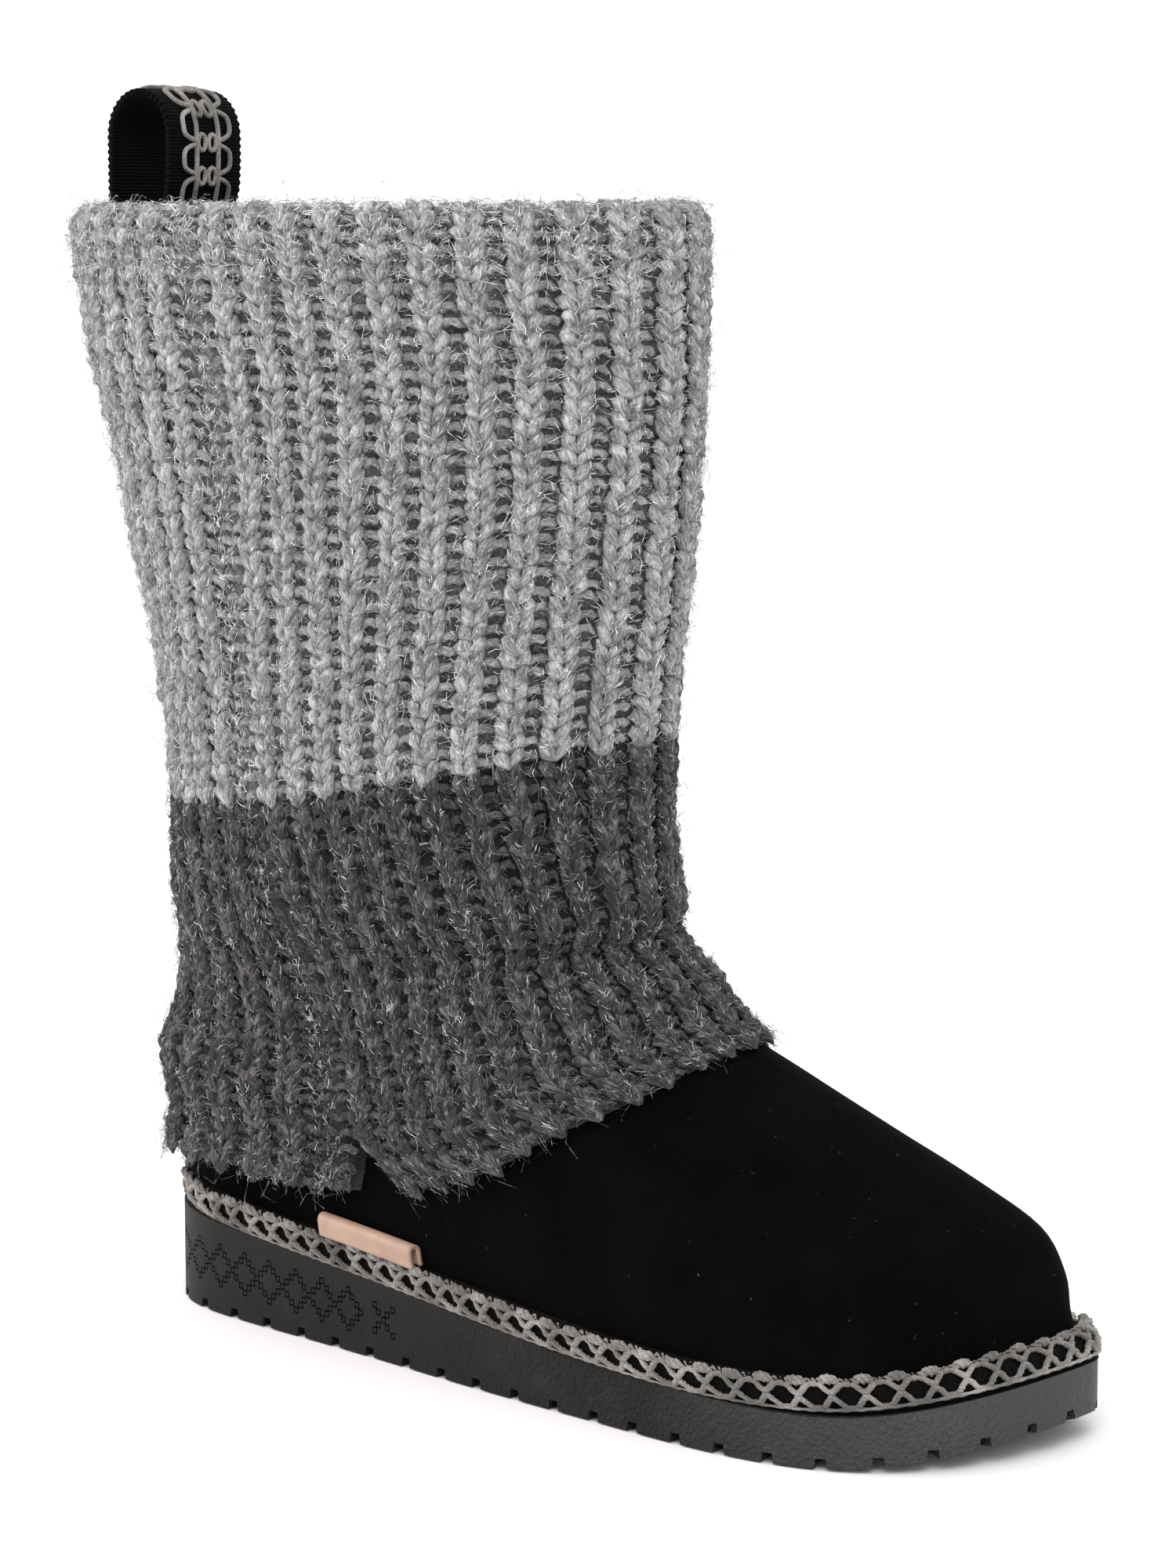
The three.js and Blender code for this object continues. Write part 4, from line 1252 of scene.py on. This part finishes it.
leg_share = np.linspace(0, 1, LEG_STEPS)
bump_share = np.linspace(0, 1, LEG_STEPS - 1)
rib_paths = [leg_at(-1, leg_share), leg_at(1, leg_share), bump_at(0.6, 0.36, bump_share)]
seam_paths = [bump_at(0.06, 0.44, bump_share), bump_at(0.54, 0.44, bump_share)]
HEM_FLATNESS = 0.5
JITTER = (0.45, 0.4, 0.35)
JITTER_SEED = 7


def stitch_field(name, half, paths, ribs, first_row, rows):
    """A field of stitches: one stitch repeated across the ribs and up the rows, laid on the sleeve."""
    stitch = strands(name, paths, STITCH_YARN)
    holder = bpy.data.objects.new(name, stitch)
    bpy.context.collection.objects.link(holder)
    for axis, count, pitch in ((0, ribs[1] - ribs[0], RIB_PITCH), (1, rows, ROW_PITCH)):
        array = holder.modifiers.new("repeat", "ARRAY")
        array.count = count
        array.use_relative_offset = False
        array.use_constant_offset = True
        array.constant_offset_displace = (0, 0, 0)
        array.constant_offset_displace[axis] = pitch
    settle(holder)
    mesh = holder.data
    bpy.data.objects.remove(holder)
    rng = np.random.default_rng(JITTER_SEED + first_row + ribs[1])
    jitter = rng.normal(0, 1, (RIBS[half] + 2, rows + 4, 3)) * JITTER

    def place(flat):
        rib = np.clip((flat[:, 0] / RIB_PITCH).astype(int), 0, RIBS[half])
        row = np.clip((flat[:, 1] / ROW_PITCH + 1).astype(int), 0, rows + 3)
        moved = flat + jitter[rib, row]
        moved[:, 0] += ribs[0] * RIB_PITCH
        moved[:, 1] += first_row * ROW_PITCH
        moved[:, 2] *= np.interp(moved[:, 1], (0, ROW_PITCH), (HEM_FLATNESS, 1))
        return knit_place(half)(moved)

    return lay(mesh, place)


# The last rib at the back of the outer seam is plain purl, where the two edges are sewn together
LIGHT_START = ROWS["dark"]
RIM_START = LIGHT_START + ROWS["light"]
RIM_ROWS = ROWS["roll"] + ROWS["inside"]
FIELDS = (
    {"name": "stitches_dark", "first": 0, "rows": ROWS["dark"], "yarn": dark_yarn},
    {"name": "stitches_light", "first": LIGHT_START, "rows": ROWS["light"], "yarn": light_yarn},
    {"name": "stitches_rim", "first": RIM_START, "rows": RIM_ROWS, "yarn": light_yarn},
)
STRETCHES = (
    {"name": "front", "half": "front", "paths": rib_paths, "ribs": (0, RIBS["front"])},
    {"name": "back", "half": "back", "paths": rib_paths, "ribs": (0, RIBS["back"] - 1)},
    {"name": "seam", "half": "back", "paths": seam_paths, "ribs": (RIBS["back"] - 1, RIBS["back"])},
)
for field in FIELDS:
    for stretch in STRETCHES:
        name = f"{field['name']}_{stretch['name']}"
        stitches = stitch_field(
            name, stretch["half"], stretch["paths"], stretch["ribs"], field["first"], field["rows"]
        )
        sleeve_yarns[stretch["half"]].append(boot_piece(name, stitches, [field["yarn"]]))

# Fibres: short ones lie along the yarn with one end off it, and long loose ones stand off the whole sleeve
NAP_TABLE = (
    {"name": "nap_dark", "first": 0, "rows": ROWS["dark"], "count": 15000, "level": 0.55, "width": 0.18},
    {
        "name": "nap_light",
        "first": LIGHT_START,
        "rows": ROWS["light"] + ROWS["roll"],
        "count": 22000,
        "level": 0.95,
        "width": 0.16,
    },
)
FUZZ_TABLE = (
    {"name": "fuzz_hem", "first": 0, "rows": 1.2, "count": 1600, "level": 0.2},
    {"name": "fuzz_dark", "first": 0, "rows": ROWS["dark"], "count": 12000, "level": 0.25},
    {"name": "fuzz_light", "first": LIGHT_START, "rows": ROWS["light"], "count": 17000, "level": 0.8},
    {"name": "fuzz_rim", "first": RIM_START - 3, "rows": ROWS["roll"] + 4, "count": 10000, "level": 0.85},
)
FUZZ_WIDTH = 0.12
FIBRE_SEED = 31
NAP = {"run": (0.8, 2.4), "stray": 0.55, "lift": (1.2, 0.35), "stand": 0.1, "bend": 0.3}
FUZZ = {"above": 1.8, "bend": 1.5, "length": (4, 0.95), "lift": (1.6, 0.7)}


def yarn_fibres(half, first_row, rows, count, seed):
    """Short fibres along the yarn of the knit stitches, as flat paths."""
    rng = np.random.default_rng(seed)
    corner = np.stack(
        [
            rng.integers(0, RIBS[half], count) * RIB_PITCH,
            (first_row + rng.integers(0, rows, count)) * ROW_PITCH,
            np.zeros(count),
        ],
        axis=1,
    )
    side = rng.choice((-1, 1), count)
    share = rng.uniform(0.05, 0.95, count)
    middle = leg_at(side, share)
    along = unit(leg_at(side, share + 0.04)[:, :3] - leg_at(side, share - 0.04)[:, :3])
    sideways = np.stack([along[:, 1], -along[:, 0], np.zeros(count)], axis=1)
    turn = rng.uniform(0.05, 0.95, count) * np.pi
    radial = sideways * np.cos(turn)[:, None]
    radial[:, 2] += np.sin(turn)
    start = corner + middle[:, :3] + radial * (middle[:, 3:] * STITCH_YARN / 2)
    run = along * rng.uniform(*NAP["run"], (count, 1)) + rng.normal(0, NAP["stray"], (count, 3))
    lift = radial * rng.gamma(*NAP["lift"], (count, 1))
    bend = radial * NAP["stand"] + rng.normal(0, NAP["bend"], (count, 3))
    return np.stack([start - run / 2, start + bend, start + run / 2 + lift], axis=1)


def loose_fibres(half, first_row, rows, count, seed):
    """Long loose fibres that curl over the stitches, as flat paths."""
    rng = np.random.default_rng(seed)
    start = np.stack(
        [
            rng.uniform(0, RIBS[half] * RIB_PITCH, count),
            rng.uniform(first_row, first_row + rows, count) * ROW_PITCH,
            rng.uniform(0, FUZZ["above"], count),
        ],
        axis=1,
    )
    heading = rng.uniform(0, 2 * np.pi, count)
    bend = rng.normal(0, FUZZ["bend"], count)
    length = rng.gamma(*FUZZ["length"], count)
    lift = rng.gamma(*FUZZ["lift"], count)
    paths = [start]
    for share in (0.5, 1):
        turned = heading + bend * share
        step = np.stack([np.cos(turned), np.sin(turned), np.zeros(count)], axis=1) * length[:, None] / 2
        paths.append(paths[-1] + step)
    rise = np.array([math.sin(math.pi * (0.05 + 0.65 * share)) for share in (0, 0.5, 1)])
    fibres = np.stack(paths, axis=1)
    fibres[:, :, 2] = start[:, 2:3] + lift[:, None] * rise
    return fibres


def fibre_material(name, level):
    material = new_material(name)
    tone = noise(material, object_place(material), 500, detail=1)
    dark, middle = grey(level * 0.15), grey(level * 0.5)
    colour = ramp_colour(material, tone, (0.38, dark), (0.52, middle), (0.64, grey(level)))
    return surface(material, Base_Color=colour, Roughness=1.0, Specular_IOR_Level=0.1)


for table, grow in ((NAP_TABLE, yarn_fibres), (FUZZ_TABLE, loose_fibres)):
    for row in table:
        name = row["name"]
        fibre_finish = fibre_material(name, row["level"])
        for half in ("front", "back"):
            count = int(row["count"] * RIBS[half] / (RIBS["front"] + RIBS["back"]))
            fibres = grow(half, row["first"], row["rows"], count, FIBRE_SEED + RIBS[half])
            ribbons = strands(name, fibres, row.get("width", FUZZ_WIDTH), flat=True)
            mesh = lay(ribbons, knit_place(half))
            sleeve_yarns[half].append(boot_piece(f"{name}_{half}", mesh, [fibre_finish]))

# Pull loop. A woven black tape, bent over and sewn inside the back of the collar. Grey yarn is worked along
# its outer face in two rows of eyes, with a straight line and a row of small rings inside each.
LOOP_WIDTH = 26
LOOP_SPAN = 22
LOOP_HEIGHT = 30
LOOP_TAIL = 17
LOOP_TAPE = 2
LOOP_SEAT = 3.5 * CLEARANCE
loop_rear = LOOP_SEAT + LOOP_TAPE / 2
loop_radius = LOOP_SPAN / 2
loop_top = COLLAR_HEIGHT + UPPER_WALL / 2 + KNIT_WALL + LOOP_HEIGHT
loop_spring = loop_top - loop_radius
loop_low = COLLAR_HEIGHT - LOOP_TAIL


def back_wall(z):
    """The turned-in knit's inner face at the middle of the back."""
    row = np.minimum(COLLAR_ROW, COLLAR_ROW - (COLLAR_HEIGHT - z) / row_height)
    return off_upper(row, 0.0, -UPPER_WALL - CLEARANCE - KNIT_WALL)[..., 0]


# The loop's route from its rear end up, over and down to its front end, which closes in on the rear one
rise_z = np.linspace(loop_low, loop_spring, 12)[:-1]
arc_turn = np.linspace(0, np.pi, 17)
fall_share = np.array([1, 0.98, 0.9, 0.62, 0.3, 0.1])
fall_z = np.linspace(loop_spring, loop_low + LOOP_TAPE, len(fall_share) + 1)[1:]
rise_out = np.full(len(rise_z), loop_rear)
arc_out = loop_rear + loop_radius * (1 - np.cos(arc_turn))
route_out = np.concatenate([rise_out, arc_out, loop_rear + LOOP_SPAN * fall_share])
route_z = np.concatenate([rise_z, loop_spring + loop_radius * np.sin(arc_turn), fall_z])
route_x = route_out + back_wall(route_z)
route_lengths = np.concatenate([[0], np.cumsum(np.hypot(np.diff(route_x), np.diff(route_z)))])
LOOP_LENGTH = route_lengths[-1]


def loop_place(flat):
    """Puts points of the flat tape, with x along it, y across and z out of its outer face, on the loop."""

    def route_at(length):
        length = np.clip(length, 0, LOOP_LENGTH)
        return np.interp(length, route_lengths, route_x), np.interp(length, route_lengths, route_z)

    length = np.clip(flat[:, 0], 0, LOOP_LENGTH)
    step = 1.5
    x, z = route_at(length)
    (ahead_x, ahead_z), (behind_x, behind_z) = route_at(length + step), route_at(length - step)
    dx, dz = ahead_x - behind_x, ahead_z - behind_z
    size = np.hypot(dx, dz)
    return np.stack([x - dz / size * flat[:, 2], flat[:, 1], z + dx / size * flat[:, 2]], axis=1)


LOOP_RIDGE = {"pitch": 1.9, "height": 0.3}
LOOP_STEPS = (300, 12)


def loop_tape(along, across):
    ridge = LOOP_RIDGE["height"] * np.cos(2 * np.pi * along * LOOP_LENGTH / LOOP_RIDGE["pitch"])
    width = LOOP_WIDTH - 2 * LOOP_RIDGE["height"] + 2 * ridge
    out = np.full_like(along, LOOP_TAPE / 2)
    return loop_place(np.stack([along * LOOP_LENGTH, (across - 0.5) * width, out], axis=1))


webbing = new_material("loop_webbing")
webbing_uv = shader_node(webbing, "UVMap", {"uv_map": "UVMap"}).outputs["UV"]
webbing_laid = shader_node(webbing, "Mapping", Vector=webbing_uv, Scale=(LOOP_LENGTH, LOOP_WIDTH, 1))
webbing_wave = shader_node(
    webbing,
    "TexWave",
    {"bands_direction": "X"},
    Vector=webbing_laid.outputs["Vector"],
    Scale=0.35,
    Distortion=1.5,
)
webbing_weave = webbing_wave.outputs["Fac"]
webbing_colour = ramp_colour(webbing, webbing_weave, (0.2, grey(0.0006)), (0.8, grey(0.002)))
surface(
    webbing,
    Base_Color=webbing_colour,
    Roughness=0.95,
    Specular_IOR_Level=0.1,
    Normal=bumped(webbing, webbing_weave, 0.8, 0.0006),
)
loop_bm = laid_grid(*LOOP_STEPS, loop_tape)
pull_tape = boot_piece("pull_loop_tape", loop_bm, [webbing], ["pull_loop"])
thicken(pull_tape, LOOP_TAPE)

LOOP_STITCH = {"pitch": 8.6, "first": 0.2, "inner": 4.2, "outer": 8.4, "yarn": 1.35}
LOOP_EYE = {"start": 0.06, "length": 0.88, "lift": 0.35}
LOOP_LINE = {"pull": 0.3, "lift": 0.5}
LOOP_RING = {"middle": 1.9, "along": 2.1, "across": 1.4, "lift": 0.3}
loop_share = np.linspace(0, 1, 13)
loop_turn = 2 * np.pi * loop_share
bulge = eased(np.sin(np.pi * loop_share), 2)
eye_along = LOOP_STITCH["pitch"] * (LOOP_EYE["start"] + LOOP_EYE["length"] * loop_share)
eye_across = LOOP_STITCH["inner"] + (LOOP_STITCH["outer"] - LOOP_STITCH["inner"]) * bulge
line_along = LOOP_STITCH["pitch"] * loop_share
line_across = LOOP_STITCH["inner"] - LOOP_LINE["pull"] * bulge
ring_along = LOOP_RING["along"] * np.cos(loop_turn)
ring_across = LOOP_RING["middle"] + LOOP_RING["across"] * np.sin(loop_turn)
loop_paths = []
for number in range(int(LOOP_LENGTH / LOOP_STITCH["pitch"])):
    start = (number + LOOP_STITCH["first"]) * LOOP_STITCH["pitch"]
    for side in (-1, 1):
        for along, across, lift in (
            (eye_along, eye_across, LOOP_EYE["lift"]),
            (line_along, line_across, LOOP_LINE["lift"]),
            (ring_along, ring_across, LOOP_RING["lift"]),
        ):
            out = np.full(len(along), LOOP_TAPE / 2 + lift)
            loop_paths.append(np.stack([start + along, side * across, out], axis=1))
loop_yarn = lay(strands("loop_yarn", loop_paths, LOOP_STITCH["yarn"]), loop_place)
boot_piece("pull_loop_yarn", loop_yarn, [braid_yarn])

# Side tab. A small strip of smooth leather, folded over lengthwise with its fold up and its ends open,
# caught between the upper and the trim on the outer side.
TAB_LENGTH = 33
TAB_HEIGHT = 5.4
TAB_DEPTH = 4
TAB_WALL = 1.1
TAB_PLACE = 0.346
TAB_STAND = 9
TAB_STEPS = (40, 24)
tab_angle = math.acos(1 - 2 * TAB_PLACE)
tab_run = upper_point(1, tab_angle + 0.5) - upper_point(1, tab_angle - 0.5)
tab_reach = TAB_LENGTH / 2 / np.linalg.norm(tab_run)


def tab_sheet(along, over):
    """The folded strip's outer face: up its front, over the fold and down its back."""
    straight = TAB_HEIGHT - TAB_DEPTH / 2
    arc = np.pi * TAB_DEPTH / 2
    run = over * (2 * straight + arc)
    turn = np.clip((run - straight) / (TAB_DEPTH / 2), 0, np.pi)
    out = TAB_DEPTH / 2 * (1 + np.cos(turn))
    up = np.where(run < straight, run, np.where(run > straight + arc, 2 * straight + arc - run, 0))
    up = np.where((run >= straight) & (run <= straight + arc), straight + TAB_DEPTH / 2 * np.sin(turn), up)
    angle = tab_angle + (2 * along - 1) * tab_reach
    return off_upper(row_at_rise(angle, TAB_STAND + up), angle, 2 * CLEARANCE + out)


leather = new_material("tab_leather")
leather_place = object_place(leather)
leather_grain = noise(leather, leather_place, 1400, detail=3)
leather_tone = noise(leather, leather_place, 120, detail=3)
TAN = (0.34, 0.22, 0.165, 1)
PALE_TAN = (0.43, 0.29, 0.22, 1)
leather_colour = ramp_colour(leather, leather_tone, (0.3, TAN), (0.7, PALE_TAN))
leather_normal = bumped(leather, leather_grain, 0.25, 0.0002)
surface(leather, Base_Color=leather_colour, Roughness=0.5, Normal=leather_normal)
tab_bm = laid_grid(*TAB_STEPS, tab_sheet)
side_tab = boot_piece("side_tab_leather", tab_bm, [leather], ["side_tab"])
thicken(side_tab, TAB_WALL)
